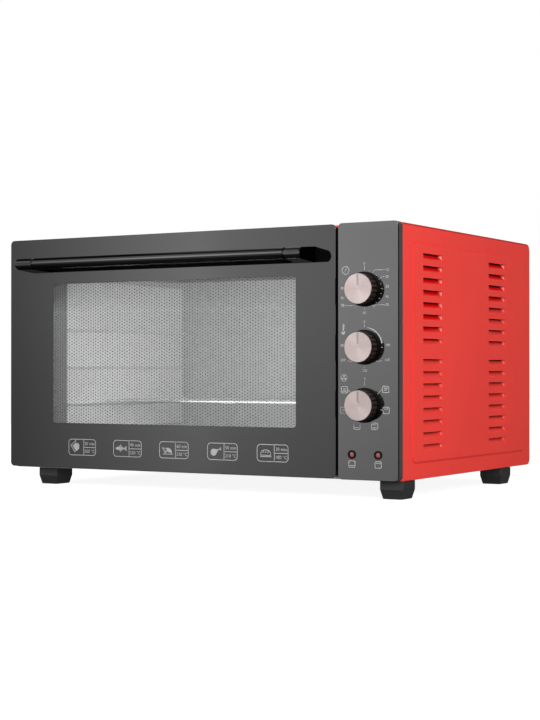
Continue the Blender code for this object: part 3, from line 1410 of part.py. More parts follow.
def build_case():
    side_panel("right_side_panel", 1)
    side_panel("left_side_panel", -1)
    top_cover()
    base_panel()
    rear_panel()
    front_frame()
    cavity_liner()
    partition()
    rack_guide("rack_guide_left", -1)
    rack_guide("rack_guide_right", 1)
    crumb_tray()
    heater("upper_heater", UPPER_HEATER_Z)
    heater("lower_heater", LOWER_HEATER_Z)
    thermostat_bulb()
    mouth_seal()
    for name, x, y in foot_places():
        foot(name, x, y)
    cable_gland()
    terminal_block()
    wiring()


def build_door():
    hinge = joint_empty("door_hinge_axis", (0, HINGE_Y, HINGE_Z))
    outer_door_glass(hinge)
    door_frame(hinge)
    inner_door_glass(hinge)
    handle_tube(hinge)
    handle_end("handle_end_left", HANDLE_LEFT, HANDLE_LEFT + HANDLE_LEFT_END, -1, hinge)
    handle_end("handle_end_right", HANDLE_RIGHT - HANDLE_RIGHT_END, HANDLE_RIGHT, 1, hinge)
    for side, x in zip(("left", "right"), handle_screw_xs()):
        handle_screw("handle_screw_" + side, x, hinge)
    for side, outward, nose, arm in zip(("left", "right"), (-1, 1), nose_spans(), arm_spans()):
        hinge_bracket("hinge_bracket_" + side, nose, outward)
        hinge_pin("hinge_pin_" + side, nose, hinge)
        check_arm("check_arm_" + side, arm, hinge)


def build_rack():
    left, right, front, rear = rack_span()
    wire_rack(joint_empty("rack_slide_axis", ((left + right) / 2, (front + rear) / 2, RACK_Z)))


def build_controls():
    fascia_glass()
    fascia_frame()
    timer()
    thermostat()
    function_switch()
    for name, z in (("timer", TIMER_Z), ("thermostat", THERMOSTAT_Z), ("function", FUNCTION_Z)):
        axis = joint_empty(name + "_knob_axis", (KNOB_X, FACE_Y, z))
        control_knob(name + "_knob", z, axis)
        knob_cap(name + "_knob_cap", z, axis)
        control_shaft(name + "_shaft", z, axis)
    for name, x in zip(("power", "heating"), LAMP_XS):
        indicator(name, x)


build_case()
build_door()
build_rack()
build_controls()
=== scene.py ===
import json
import math

import bmesh
import bpy
from mathutils import Matrix, Vector


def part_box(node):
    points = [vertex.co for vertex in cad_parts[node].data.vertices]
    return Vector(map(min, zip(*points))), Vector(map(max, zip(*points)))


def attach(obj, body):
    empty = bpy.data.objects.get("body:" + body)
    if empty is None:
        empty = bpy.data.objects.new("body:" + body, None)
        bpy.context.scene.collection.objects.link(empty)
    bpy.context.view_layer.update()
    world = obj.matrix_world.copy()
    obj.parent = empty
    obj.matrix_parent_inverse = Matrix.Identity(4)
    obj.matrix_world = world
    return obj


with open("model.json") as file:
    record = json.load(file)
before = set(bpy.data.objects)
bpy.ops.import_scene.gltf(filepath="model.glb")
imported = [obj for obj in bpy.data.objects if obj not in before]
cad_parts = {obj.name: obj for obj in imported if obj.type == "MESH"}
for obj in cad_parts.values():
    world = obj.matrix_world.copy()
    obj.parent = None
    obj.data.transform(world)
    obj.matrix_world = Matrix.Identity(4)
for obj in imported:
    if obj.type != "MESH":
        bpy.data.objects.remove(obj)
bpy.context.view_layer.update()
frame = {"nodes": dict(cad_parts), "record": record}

# Camera: the photograph's own view of the oven, in metres and degrees
CAMERA_PLACE = (1.10600, -1.85376, 0.15215)
CAMERA_YAW = 30.735
CAMERA_PITCH = 0.328
CAMERA_LENS = 80.1
SENSOR = 36.0

# Places read from the frame
DOOR_LOW, DOOR_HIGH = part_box("outer_door_glass")
SIDE_LOW, SIDE_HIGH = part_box("right_side_panel")
LINER_LOW, LINER_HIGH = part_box("cavity_liner")
GLASS_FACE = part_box("fascia_glass")[0].y
DOOR_BACK = DOOR_HIGH.y
MILLIMETRE = 0.001

# Window in the door glass, measured from the door's corners
WINDOW_LEFT = DOOR_LOW.x + 71.8 * MILLIMETRE
WINDOW_RIGHT = DOOR_HIGH.x - 54.0 * MILLIMETRE
WINDOW_LOW = DOOR_LOW.z + 58.6 * MILLIMETRE
WINDOW_HIGH = DOOR_HIGH.z - 59.5 * MILLIMETRE
WINDOW_CORNER = 3.5 * MILLIMETRE
WINDOW_EDGE_BLUR = 0.2 * MILLIMETRE
REAR_OPENING = 4.5 * MILLIMETRE
REAR_OPENING_DEPTHS = (1.0 * MILLIMETRE, 2.0 * MILLIMETRE)

# Prints on the glass
PRINT_GAP = 0.02 * MILLIMETRE
PRINT_DEPTH = 0.02 * MILLIMETRE
LINE = 0.65 * MILLIMETRE
FINE_LINE = 0.52 * MILLIMETRE
DIGIT_HEIGHT = 3.0 * MILLIMETRE
FONT_HEIGHT_SHARE = 0.69

# Dots on the back of the window
DOT_RADIUS = 0.86 * MILLIMETRE
DOT_PITCH = 3.87 * MILLIMETRE
DOT_COLUMN = 3.85 * MILLIMETRE
DOT_SIDES = 6


def knob_centre(name):
    """A knob's axis, as a place across and up on the front."""
    low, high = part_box(name + "_shaft")
    flange_low, flange_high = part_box(name + "_knob")
    return (low.x + high.x) / 2, (flange_low.z + flange_high.z) / 2


# Materials: a noise's values that count as its lowest and its highest
NOISE_LOW, NOISE_HIGH = 0.3, 0.7


class Nodes:
    """A short way to write a material's nodes."""

    def __init__(self, name):
        self.material = bpy.data.materials.new(name)
        self.material.use_nodes = True
        self.tree = self.material.node_tree
        self.shader = self.tree.nodes["Principled BSDF"]
        self.place = self.add("ShaderNodeTexCoord").outputs["Object"]

    def add(self, kind, **values):
        node = self.tree.nodes.new(kind)
        for key, value in values.items():
            setattr(node, key, value)
        return node

    def link(self, source, target):
        self.tree.links.new(source, target)

    def feed(self, node, **values):
        """Sets or links a node's inputs by name, with _ for a space."""
        for key, value in values.items():
            socket = node.inputs[key.replace("_", " ")]
            if isinstance(value, bpy.types.NodeSocket):
                self.link(value, socket)
            else:
                socket.default_value = value
        return node

    def scaled(self, scale, turn=(0, 0, 0)):
        mapping = self.add("ShaderNodeMapping")
        self.link(self.place, mapping.inputs["Vector"])
        mapping.inputs["Scale"].default_value = scale
        mapping.inputs["Rotation"].default_value = turn
        return mapping.outputs["Vector"]

    def noise(self, scale, detail=4.0, roughness=0.55, vector=None, distortion=0.0):
        node = self.add("ShaderNodeTexNoise")
        self.feed(node, Vector=vector or self.place, Scale=scale, Detail=detail)
        self.feed(node, Roughness=roughness, Distortion=distortion)
        return node.outputs["Fac"]

    def cells(self, scale):
        node = self.add("ShaderNodeTexVoronoi")
        self.feed(node, Vector=self.place, Scale=scale)
        return node.outputs

    def ranged(self, value, low, high, to_low, to_high):
        node = self.add("ShaderNodeMapRange")
        self.feed(node, Value=value, From_Min=low, From_Max=high, To_Min=to_low, To_Max=to_high)
        return node.outputs["Result"]

    def spread(self, wave, low, high):
        """A noise brought to the range between two values."""
        return self.ranged(wave, NOISE_LOW, NOISE_HIGH, low, high)

    def patchy(self, scale, low, high, detail=4.0):
        """A value that wanders between two others over the surface, such as a roughness."""
        return self.spread(self.noise(scale, detail), low, high)

    def maths(self, operation, first, second=0.0):
        node = self.add("ShaderNodeMath", operation=operation)
        for index, value in enumerate((first, second)):
            if isinstance(value, bpy.types.NodeSocket):
                self.link(value, node.inputs[index])
            else:
                node.inputs[index].default_value = value
        return node.outputs["Value"]

    def mixed(self, factor, first, second):
        """A colour between two colours."""
        node = self.add("ShaderNodeMix", data_type="RGBA")
        for socket, value in ((node.inputs[0], factor), (node.inputs[6], first), (node.inputs[7], second)):
            if isinstance(value, bpy.types.NodeSocket):
                self.link(value, socket)
            elif isinstance(value, (int, float)):
                socket.default_value = value
            else:
                socket.default_value = (*value, 1)
        return node.outputs[2]

    def bump(self, height, strength, distance):
        node = self.add("ShaderNodeBump")
        self.feed(node, Height=height, Strength=strength, Distance=distance)
        self.link(node.outputs["Normal"], self.shader.inputs["Normal"])

    def surface(self, **values):
        self.feed(self.shader, **values)
        return self.material


def separate(nodes, vector):
    """The three numbers of a vector."""
    node = nodes.add("ShaderNodeSeparateXYZ")
    nodes.link(vector, node.inputs[0])
    return node.outputs


def face_way(nodes):
    """How far a face looks right, back and up."""
    return separate(nodes, nodes.add("ShaderNodeNewGeometry").outputs["True Normal"])


# Red enamel. Depths are measured outward from the sides' plain sheet, which the field stands proud of.
RED_LIGHT = (0.87, 0.062, 0.049)
RED_PLAIN = (0.83, 0.056, 0.044)
# Painted shade for the louvres' slopes and the field's folds, for the slits, and for the sides' upper edges;
# then painted light for the louvres' forward ends
RED_SHADE = (0.78, 0.004, 0.005)
RED_SLIT_SHADE = (0.30, 0.001, 0.001)
RED_EDGE_SHADE = (0.50, 0.020, 0.018)
RED_PAINTED_LIGHT = (1.0, 0.40, 0.34)
FIELD_RISE = 1.0 * MILLIMETRE
LOUVRE_DEPTHS = (-0.2 * MILLIMETRE, -1.0 * MILLIMETRE)
SLIT_SHADE_DEPTHS = (-4.8 * MILLIMETRE, -6.8 * MILLIMETRE)
EDGE_SHADE_DROPS = (2.8 * MILLIMETRE, 1.2 * MILLIMETRE)
FRONT_FOLD = (10.0 * MILLIMETRE, 12.0 * MILLIMETRE)
LOW_ROW_END_LIGHT = 0.45
FOLD_SHADES = (0.40, 0.55)

# The louvres' slopes get painted shade above a line that rises towards the back
SHADE_TILT = 0.22
SHADE_LEVEL = 0.212
SHADE_BLEND = 0.012


def painted_louvre_light(nodes, colour, depth, inside):
    """Painted shade on the louvres' slopes in the upper rows, darkening to nearly black towards their slits,
    and painted light, pale, on their forward ends.
    """
    _, along, up = face_way(nodes)
    _, y, z = separate(nodes, nodes.place)
    level = nodes.maths("SUBTRACT", z, nodes.maths("MULTIPLY", y, SHADE_TILT))
    shaded = nodes.ranged(level, SHADE_LEVEL - SHADE_BLEND, SHADE_LEVEL + SHADE_BLEND, 0, 1)
    slope = nodes.maths("MULTIPLY", inside, nodes.ranged(up, 0.3, 0.5, 0, 1))
    slope = nodes.maths("MULTIPLY", slope, shaded)
    # Painted shade on the slopes, darker towards the slits
    slope_shade = nodes.mixed(nodes.ranged(depth, *SLIT_SHADE_DEPTHS, 0, 1), RED_SHADE, RED_SLIT_SHADE)
    colour = nodes.mixed(slope, colour, slope_shade)
    # Painted light on the louvres' forward ends, weaker in the lower rows
    end = nodes.maths("MULTIPLY", inside, nodes.ranged(along, -0.3, -0.7, 0, 1))
    behind_fold = nodes.ranged(y, SIDE_LOW.y + FRONT_FOLD[0], SIDE_LOW.y + FRONT_FOLD[1], 0, 1)
    end = nodes.maths("MULTIPLY", end, behind_fold)
    end = nodes.maths("MULTIPLY", end, nodes.ranged(shaded, 0, 1, LOW_ROW_END_LIGHT, 1))
    return nodes.mixed(end, colour, RED_PAINTED_LIGHT)


def painted_fold_shade(nodes, colour, inside):
    """Painted shade: darker red on the field's sloped edges, and dark on the sides' upper edges."""
    across, _, up = face_way(nodes)
    z = separate(nodes, nodes.place)[2]
    flat = nodes.maths("ABSOLUTE", across)
    sloped = nodes.ranged(flat, 0.15, 0.35, 0, 1)
    fold = nodes.maths("MINIMUM", sloped, nodes.ranged(flat, 0.999, 0.93, 0, 1))
    fold = nodes.maths("MULTIPLY", fold, nodes.maths("SUBTRACT", 1.0, inside))
    shade = nodes.maths("MULTIPLY", fold, nodes.ranged(up, 0.05, 0.20, *FOLD_SHADES))
    colour = nodes.mixed(shade, colour, RED_SHADE)
    # Painted shade along the sides' upper edges
    edge = nodes.ranged(z, SIDE_HIGH.z - EDGE_SHADE_DROPS[0], SIDE_HIGH.z - EDGE_SHADE_DROPS[1], 0, 1)
    edge = nodes.maths("MULTIPLY", edge, nodes.ranged(flat, 0.15, 0.40, 0, 1))
    return nodes.mixed(edge, colour, RED_EDGE_SHADE)


def red_enamel(name="red_enamel", pressed=False):
    """Enamel on sheet; on the pressed sides it has painted shade in the louvres and on the folded edges, and
    painted light on the louvres' forward ends.
    """
    nodes = Nodes(name)
    colour = nodes.mixed(nodes.patchy(7.0, 0, 1, 3.0), RED_LIGHT, RED_PLAIN)
    if pressed:
        x = separate(nodes, nodes.place)[0]
        depth = nodes.maths("SUBTRACT", nodes.maths("ABSOLUTE", x), SIDE_HIGH.x - FIELD_RISE)
        inside = nodes.ranged(depth, *LOUVRE_DEPTHS, 0, 1)
        colour = painted_louvre_light(nodes, colour, depth, inside)
        colour = painted_fold_shade(nodes, colour, inside)
    nodes.bump(nodes.noise(420.0, 3.0), 0.05, 0.0004)
    return nodes.surface(Base_Color=colour, Roughness=nodes.patchy(60.0, 0.34, 0.40), Specular_IOR_Level=0.12)


def window_mask(nodes):
    """1 inside the door's window and 0 outside it, with round corners; the glass's back is clear further."""
    x, y, z = separate(nodes, nodes.place)
    middle_x, middle_z = (WINDOW_LEFT + WINDOW_RIGHT) / 2, (WINDOW_LOW + WINDOW_HIGH) / 2
    half_x = (WINDOW_RIGHT - WINDOW_LEFT) / 2 - WINDOW_CORNER
    half_z = (WINDOW_HIGH - WINDOW_LOW) / 2 - WINDOW_CORNER
    across = nodes.maths("ABSOLUTE", nodes.maths("SUBTRACT", x, middle_x))
    up = nodes.maths("ABSOLUTE", nodes.maths("SUBTRACT", z, middle_z))
    across = nodes.maths("MAXIMUM", nodes.maths("SUBTRACT", across, half_x), 0.0)
    up = nodes.maths("MAXIMUM", nodes.maths("SUBTRACT", up, half_z), 0.0)
    squared = nodes.maths("ADD", nodes.maths("MULTIPLY", across, across), nodes.maths("MULTIPLY", up, up))
    distance = nodes.maths("SQRT", squared)
    near, far = REAR_OPENING_DEPTHS
    behind = nodes.ranged(y, GLASS_FACE + near, GLASS_FACE + far, 0, REAR_OPENING)
    distance = nodes.maths("SUBTRACT", distance, behind)
    return nodes.ranged(distance, WINDOW_CORNER, WINDOW_CORNER - WINDOW_EDGE_BLUR, 0, 1)


def smudges(nodes, low, high):
    """A roughness with faint wiped streaks."""
    streaks = nodes.noise(9.0, 6.0, 0.6, nodes.scaled((1.0, 1.0, 2.2), (0, 0.5, 0)), 0.6)
    return nodes.ranged(streaks, 0.35, 0.75, low, high)


WINDOW_ALPHA = 0.13
INNER_GLASS_ALPHA = 0.10


def glass_black(nodes):
    return nodes.mixed(nodes.noise(3.0, 2.0), (0.0018, 0.0018, 0.0018), (0.0028, 0.0028, 0.0028))


def door_glass():
    """Black mirror glass, clear in its window."""
    nodes = Nodes("door_glass")
    alpha = nodes.ranged(window_mask(nodes), 0, 1, 1.0, WINDOW_ALPHA)
    rough = smudges(nodes, 0.03, 0.055)
    return nodes.surface(Base_Color=glass_black(nodes), Roughness=rough, IOR=2.0, Alpha=alpha)


def panel_glass():
    """Black mirror glass, brighter than the door's."""
    nodes = Nodes("panel_glass")
    return nodes.surface(Base_Color=glass_black(nodes), Roughness=smudges(nodes, 0.03, 0.055), IOR=2.7)


def clear_glass():
    nodes = Nodes("clear_glass")
    tint = nodes.mixed(nodes.noise(3.0, 2.0), (0.55, 0.60, 0.60), (0.60, 0.64, 0.64))
    rough = smudges(nodes, 0.02, 0.05)
    return nodes.surface(Base_Color=tint, Roughness=rough, IOR=1.5, Alpha=INNER_GLASS_ALPHA)


# Steel
BLACK_PAINT = ((0.016, 0.016, 0.017), (0.026, 0.026, 0.027))
SPANGLES = 150.0


def black_steel(name="black_steel", edge=None):
    """Black painted steel; where an edge is given, it is grey there."""
    nodes = Nodes(name)
    tone = nodes.mixed(nodes.noise(40.0, 5.0), *BLACK_PAINT)
    if edge:
        tone = nodes.mixed(edge(nodes), tone, (0.20, 0.20, 0.20))
    nodes.bump(nodes.noise(700.0, 2.0), 0.10, 0.0003)
    return nodes.surface(Base_Color=tone, Roughness=nodes.patchy(30.0, 0.38, 0.50))


def rolled_lines(nodes):
    """Fine lines as on rolled sheet, which also stand out a little."""
    lines = nodes.noise(60.0, 5.0, 0.6, nodes.scaled((1.0, 1.0, 14.0)))
    nodes.bump(lines, 0.06, 0.0003)
    return lines


def spangled(nodes, dark, light):
    """The crystal pattern of a hot-dipped coat."""
    return nodes.mixed(separate(nodes, nodes.cells(SPANGLES)["Color"])[0], dark, light)


def galvanised(name="galvanised_steel", light=(0.66, 0.66, 0.66), dark=(0.54, 0.55, 0.56), metal=0.7):
    """Zinc-coated sheet: a faint crystal pattern under fine rolling lines."""
    nodes = Nodes(name)
    rough = nodes.spread(rolled_lines(nodes), 0.30, 0.44)
    return nodes.surface(Base_Color=spangled(nodes, dark, light), Roughness=rough, Metallic=metal)


# The painted shade on the cavity's side walls near the mouth: its reach from the wall, and from the mouth
SHADE_BAND_WALL = (7.5 * MILLIMETRE, 6.5 * MILLIMETRE)
SHADE_BAND_DEPTH = (62.0 * MILLIMETRE, 58.0 * MILLIMETRE)


def aluminised():
    """The cavity's sheet: bright, with a band of painted shade on its sides near the mouth."""
    nodes = Nodes("aluminised_steel")
    tone = spangled(nodes, (0.62, 0.62, 0.62), (0.70, 0.70, 0.70))
    x, y, _ = separate(nodes, nodes.place)
    middle, half = (LINER_LOW.x + LINER_HIGH.x) / 2, (LINER_HIGH.x - LINER_LOW.x) / 2
    wall = nodes.maths("ABSOLUTE", nodes.maths("SUBTRACT", x, middle))
    wall = nodes.ranged(wall, half - SHADE_BAND_WALL[0], half - SHADE_BAND_WALL[1], 0, 1)
    near = nodes.ranged(y, LINER_LOW.y + SHADE_BAND_DEPTH[0], LINER_LOW.y + SHADE_BAND_DEPTH[1], 0, 1)
    tone = nodes.mixed(nodes.maths("MULTIPLY", wall, near), tone, (0.24, 0.24, 0.24))
    rough = nodes.spread(rolled_lines(nodes), 0.34, 0.48)
    return nodes.surface(Base_Color=tone, Roughness=rough, Metallic=0.2)


FRAME_GREY_EDGE = (7.2 * MILLIMETRE, 6.6 * MILLIMETRE)


def window_edge(nodes):
    """1 on the part of the door frame that shows round the window, 0 past it."""
    x, _, z = separate(nodes, nodes.place)
    past = []
    for value, low, high in ((x, WINDOW_LEFT, WINDOW_RIGHT), (z, WINDOW_LOW, WINDOW_HIGH)):
        offset = nodes.maths("ABSOLUTE", nodes.maths("SUBTRACT", value, (low + high) / 2))
        past.append(nodes.maths("SUBTRACT", offset, (high - low) / 2))
    return nodes.ranged(nodes.maths("MAXIMUM", *past), *FRAME_GREY_EDGE, 0, 1)


def bright_wire():
    nodes = Nodes("bright_wire")
    tone = nodes.mixed(nodes.noise(90.0), (0.84, 0.84, 0.83), (0.92, 0.92, 0.91))
    nodes.bump(nodes.noise(500.0, 2.0), 0.05, 0.0002)
    return nodes.surface(Base_Color=tone, Roughness=nodes.patchy(200.0, 0.16, 0.28), Metallic=0.75)


def heater_sheath():
    nodes = Nodes("heater_sheath")
    bands = nodes.noise(22.0, 3.0, 0.6, nodes.scaled((1.0, 0.4, 1.0)))
    tone = nodes.mixed(nodes.ranged(bands, 0.35, 0.65, 0, 1), (0.34, 0.33, 0.32), (0.46, 0.44, 0.42))
    nodes.bump(nodes.noise(600.0, 2.0), 0.12, 0.0002)
    return nodes.surface(Base_Color=tone, Roughness=nodes.patchy(150.0, 0.30, 0.48), Metallic=0.8)


def turned_place(nodes, centre):
    """The distance from a knob's axis, the angle round it, and the place across and up from it."""
    x, _, z = separate(nodes, nodes.place)
    across = nodes.maths("SUBTRACT", x, centre[0])
    up = nodes.maths("SUBTRACT", z, centre[1])
    squared = nodes.maths("ADD", nodes.maths("MULTIPLY", across, across), nodes.maths("MULTIPLY", up, up))
    return nodes.maths("SQRT", squared), nodes.maths("ARCTAN2", up, across), across, up


# Knob caps: the turned rings and the pointer's outline of painted shade, measured up from the knob's axis
RING_PITCH = 0.35 * MILLIMETRE
MARK_WIDTH = 1.7 * MILLIMETRE
MARK_LOW = 4.0 * MILLIMETRE
MARK_HIGH = 15.8 * MILLIMETRE
MARK_SHADE_LINE = 0.30 * MILLIMETRE


def rose_aluminium(name, centre):
    """A turned disc: fine rings round the knob's axis, a painted sheen that is brighter at the top and bottom
    and most at the bottom, and painted shade round the pointer's edges.
    """
    nodes = Nodes("rose_aluminium_" + name)
    radius, angle, across, up = turned_place(nodes, centre)
    rings = nodes.maths("SINE", nodes.maths("MULTIPLY", radius, math.tau / RING_PITCH))
    # Painted sheen across the cap and painted light towards its bottom; grain gathers them with the rings and
    # a fine noise
    sheen = nodes.maths("MULTIPLY", nodes.maths("COSINE", nodes.maths("MULTIPLY", angle, 2.0)), -0.40)
    lower = nodes.maths("MULTIPLY", nodes.maths("SINE", angle), -0.12)
    grain = nodes.maths("ADD", sheen, nodes.maths("ADD", lower, nodes.maths("MULTIPLY", rings, 0.08)))
    grain = nodes.maths("ADD", grain, nodes.noise(500.0, 3.0))
    tone = nodes.mixed(nodes.ranged(grain, 0.0, 1.0, 0, 1), (0.54, 0.435, 0.424), (0.715, 0.610, 0.592))
    middle = (MARK_LOW + MARK_HIGH) / 2
    beside_mark = nodes.maths("SUBTRACT", nodes.maths("ABSOLUTE", across), MARK_WIDTH / 2)
    above_mark = nodes.maths("ABSOLUTE", nodes.maths("SUBTRACT", up, middle))
    above_mark = nodes.maths("SUBTRACT", above_mark, (MARK_HIGH - MARK_LOW) / 2)
    border = nodes.maths("ABSOLUTE", nodes.maths("MAXIMUM", beside_mark, above_mark))
    # Painted shade round the pointer's edges
    tone = nodes.mixed(nodes.ranged(border, MARK_SHADE_LINE, MARK_SHADE_LINE * 0.6, 0, 0.8), tone, (0.10, 0.07, 0.07))
    tangent = nodes.add("ShaderNodeTangent", direction_type="RADIAL", axis="Y")
    nodes.link(tangent.outputs["Tangent"], nodes.shader.inputs["Tangent"])
    nodes.bump(rings, 0.04, 0.0001)
    return nodes.surface(Base_Color=tone, Roughness=0.34, Metallic=0.85, Anisotropic=0.6)


# Knob grips: the radius of the grooves, which get painted shade, and the flange's reach in front of the
# fascia
KNOB_GROOVE = 17.9 * MILLIMETRE
GROOVE_BLUR = 0.4 * MILLIMETRE
FLANGE_REACH = (3.6 * MILLIMETRE, 3.0 * MILLIMETRE)


def knob_black(name, centre):
    """Near-black brown plastic, with painted shade, black, in the grooves between the ribs."""
    nodes = Nodes("knob_black_" + name)
    radius = turned_place(nodes, centre)[0]
    y = separate(nodes, nodes.place)[1]
    tone = nodes.mixed(nodes.noise(80.0), (0.026, 0.015, 0.015), (0.036, 0.021, 0.021))
    # Painted shade in the grooves, but not on the flange
    groove_shade = nodes.ranged(radius, KNOB_GROOVE - GROOVE_BLUR, KNOB_GROOVE, 0, 1)
    flange = nodes.ranged(y, GLASS_FACE - FLANGE_REACH[0], GLASS_FACE - FLANGE_REACH[1], 0, 1)
    groove_shade = nodes.maths("MULTIPLY", groove_shade, nodes.maths("SUBTRACT", 1.0, flange))
    tone = nodes.mixed(groove_shade, (0.0012, 0.0010, 0.0010), tone)
    nodes.bump(nodes.noise(1500.0, 2.0), 0.15, 0.0002)
    return nodes.surface(Base_Color=tone, Roughness=nodes.patchy(60.0, 0.44, 0.56), Specular_IOR_Level=0.20)


DULL_ROUGHNESS = 0.85


def gloss_black(name="gloss_black", dull_ends=False):
    """Gloss paint; on the handle's end pieces the sawn faces are dull."""
    nodes = Nodes(name)
    tone = nodes.mixed(nodes.noise(12.0), (0.0016, 0.0016, 0.0016), (0.0024, 0.0024, 0.0024))
    rough = nodes.spread(nodes.noise(40.0, 6.0, 0.6, nodes.scaled((0.2, 1.0, 1.0))), 0.06, 0.12)
    nodes.bump(nodes.noise(300.0, 2.0), 0.02, 0.0002)
    if not dull_ends:
        return nodes.surface(Base_Color=tone, Roughness=rough, IOR=1.6)
    end = nodes.ranged(nodes.maths("ABSOLUTE", face_way(nodes)[0]), 0.55, 0.75, 0, 1)
    rough = nodes.maths("MAXIMUM", rough, nodes.maths("MULTIPLY", end, DULL_ROUGHNESS))
    return nodes.surface(Base_Color=tone, Roughness=rough, Metallic=end, IOR=1.85)


MOULD_SPREAD = 0.06


def moulded(name, dark, light, rough, specular):
    """Moulded plastic with a fine grain."""
    nodes = Nodes(name)
    tone = nodes.mixed(nodes.noise(80.0), dark, light)
    nodes.bump(nodes.noise(1500.0, 2.0), 0.15, 0.0002)
    rough = nodes.patchy(60.0, rough - MOULD_SPREAD, rough + MOULD_SPREAD)
    return nodes.surface(Base_Color=tone, Roughness=rough, Specular_IOR_Level=specular)


def plain(name, dark, light, cloud=80.0, grain=700.0, strength=0.08, rough=(60.0, 0.42, 0.55)):
    """Plain plastic or rubber with a faint grain."""
    nodes = Nodes(name)
    tone = nodes.mixed(nodes.noise(cloud), dark, light)
    nodes.bump(nodes.noise(grain, 2.0), strength, 0.0002)
    return nodes.surface(Base_Color=tone, Roughness=nodes.patchy(*rough))


def lamp_red():
    nodes = Nodes("lamp_red")
    glow = nodes.mixed(nodes.noise(400.0, 2.0), (0.24, 0.060, 0.064), (0.30, 0.085, 0.090))
    nodes.bump(nodes.cells(900.0)["Distance"], 0.25, 0.0003)
    return nodes.surface(Base_Color=glow, Roughness=nodes.patchy(300.0, 0.20, 0.32))


# Painted light on the fascia's numbers where the knobs shade them: from so far left of a knob's axis, and
# round a level under it
PRINT_PAINTED_LIGHT = (0.72, 0.72, 0.72)
LIT_PRINT_LEFT = (10.0 * MILLIMETRE, 18.0 * MILLIMETRE)
LIT_PRINT_DROP = 7.0 * MILLIMETRE
LIT_PRINT_REACH = 15.0 * MILLIMETRE
LIT_PRINT_BLUR = 1.0 * MILLIMETRE


def print_white(name="print_white", painted_light_by_knobs=False):
    """Printed marks; numbers left of the upper knobs get painted light, paler, against the shade that the
    knobs throw there.
    """
    nodes = Nodes(name)
    tone = nodes.mixed(nodes.noise(900.0, 2.0), (0.36, 0.36, 0.36), (0.46, 0.46, 0.46))
    if painted_light_by_knobs:
        x, _, z = separate(nodes, nodes.place)
        for knob in ("timer", "thermostat"):
            knob_x, knob_z = knob_centre(knob)
            left = nodes.ranged(x, knob_x - LIT_PRINT_LEFT[0], knob_x - LIT_PRINT_LEFT[1], 0, 1)
            off = nodes.maths("ABSOLUTE", nodes.maths("SUBTRACT", z, knob_z - LIT_PRINT_DROP))
            beside_knob = nodes.ranged(off, LIT_PRINT_REACH, LIT_PRINT_REACH - LIT_PRINT_BLUR, 0, 1)
            # Painted light on the numbers in the knobs' shade
            tone = nodes.mixed(nodes.maths("MULTIPLY", left, beside_knob), tone, PRINT_PAINTED_LIGHT)
    return nodes.surface(Base_Color=tone, Roughness=nodes.patchy(300.0, 0.45, 0.60))


def print_dark():
    nodes = Nodes("print_dark")
    tone = nodes.mixed(nodes.noise(900.0, 2.0), (0.010, 0.010, 0.010), (0.016, 0.016, 0.016))
    return nodes.surface(Base_Color=tone, Roughness=nodes.patchy(300.0, 0.50, 0.65))


RUBBER_ROUGHNESS = (50.0, 0.62, 0.74)


def dress_frame():
    """Gives each CAD node its material."""
    made = {
        "red_enamel": red_enamel(),
        "clear_glass": clear_glass(),
        "black_steel": black_steel(),
        "galvanised_steel": galvanised(),
        "bright_wire": bright_wire(),
        "heater_sheath": heater_sheath(),
        "gloss_black": gloss_black(),
        "matte_black": moulded("matte_black", (0.017, 0.017, 0.017), (0.026, 0.026, 0.026), 0.46, 0.5),
        "silicone_grey": plain(
            "silicone_grey", (0.07, 0.07, 0.07), (0.10, 0.10, 0.10), 60.0, 900.0, 0.10, RUBBER_ROUGHNESS
        ),
        "lamp_red": lamp_red(),
        "phenolic_cream": plain("phenolic_cream", (0.66, 0.60, 0.47), (0.74, 0.68, 0.56), 120.0, 900.0, 0.10),
        "wire_brown": plain("wire_brown", (0.12, 0.05, 0.03), (0.19, 0.085, 0.05)),
        "wire_blue": plain("wire_blue", (0.03, 0.08, 0.28), (0.05, 0.12, 0.38)),
    }
    special = {"outer_door_glass": door_glass(), "fascia_glass": panel_glass()}
    special["cavity_liner"] = aluminised()
    special["rack_guide_left"] = galvanised("guide_steel", (0.90, 0.90, 0.90), (0.84, 0.84, 0.84), 0.2)
    special["rack_guide_right"] = special["rack_guide_left"]
    special["right_side_panel"] = special["left_side_panel"] = red_enamel("red_enamel_sides", pressed=True)
    special["door_frame"] = black_steel("door_frame_steel", window_edge)
    special["handle_end_left"] = special["handle_end_right"] = gloss_black("gloss_black_ends", dull_ends=True)
    lamp_black = moulded("lamp_black", (0.003, 0.003, 0.003), (0.006, 0.005, 0.005), 0.40, 0.15)
    special["power_lamp_housing"] = special["heating_lamp_housing"] = lamp_black
    special["fascia_frame"] = moulded("frame_grey", (0.045, 0.045, 0.045), (0.060, 0.060, 0.060), 0.45, 0.4)
    for name in ("timer", "thermostat", "function"):
        special[name + "_knob_cap"] = rose_aluminium(name, knob_centre(name))
        special[name + "_knob"] = knob_black(name, knob_centre(name))
    for row in frame["record"]["subparts"]:
        node = frame["nodes"][row["node"]]
        material = special.get(row["node"]) or made[row["material_slot"]]
        for slot in node.material_slots:
            slot.material = material


# Prints: thin plates on the glass, drawn in the plane of the front, in metres


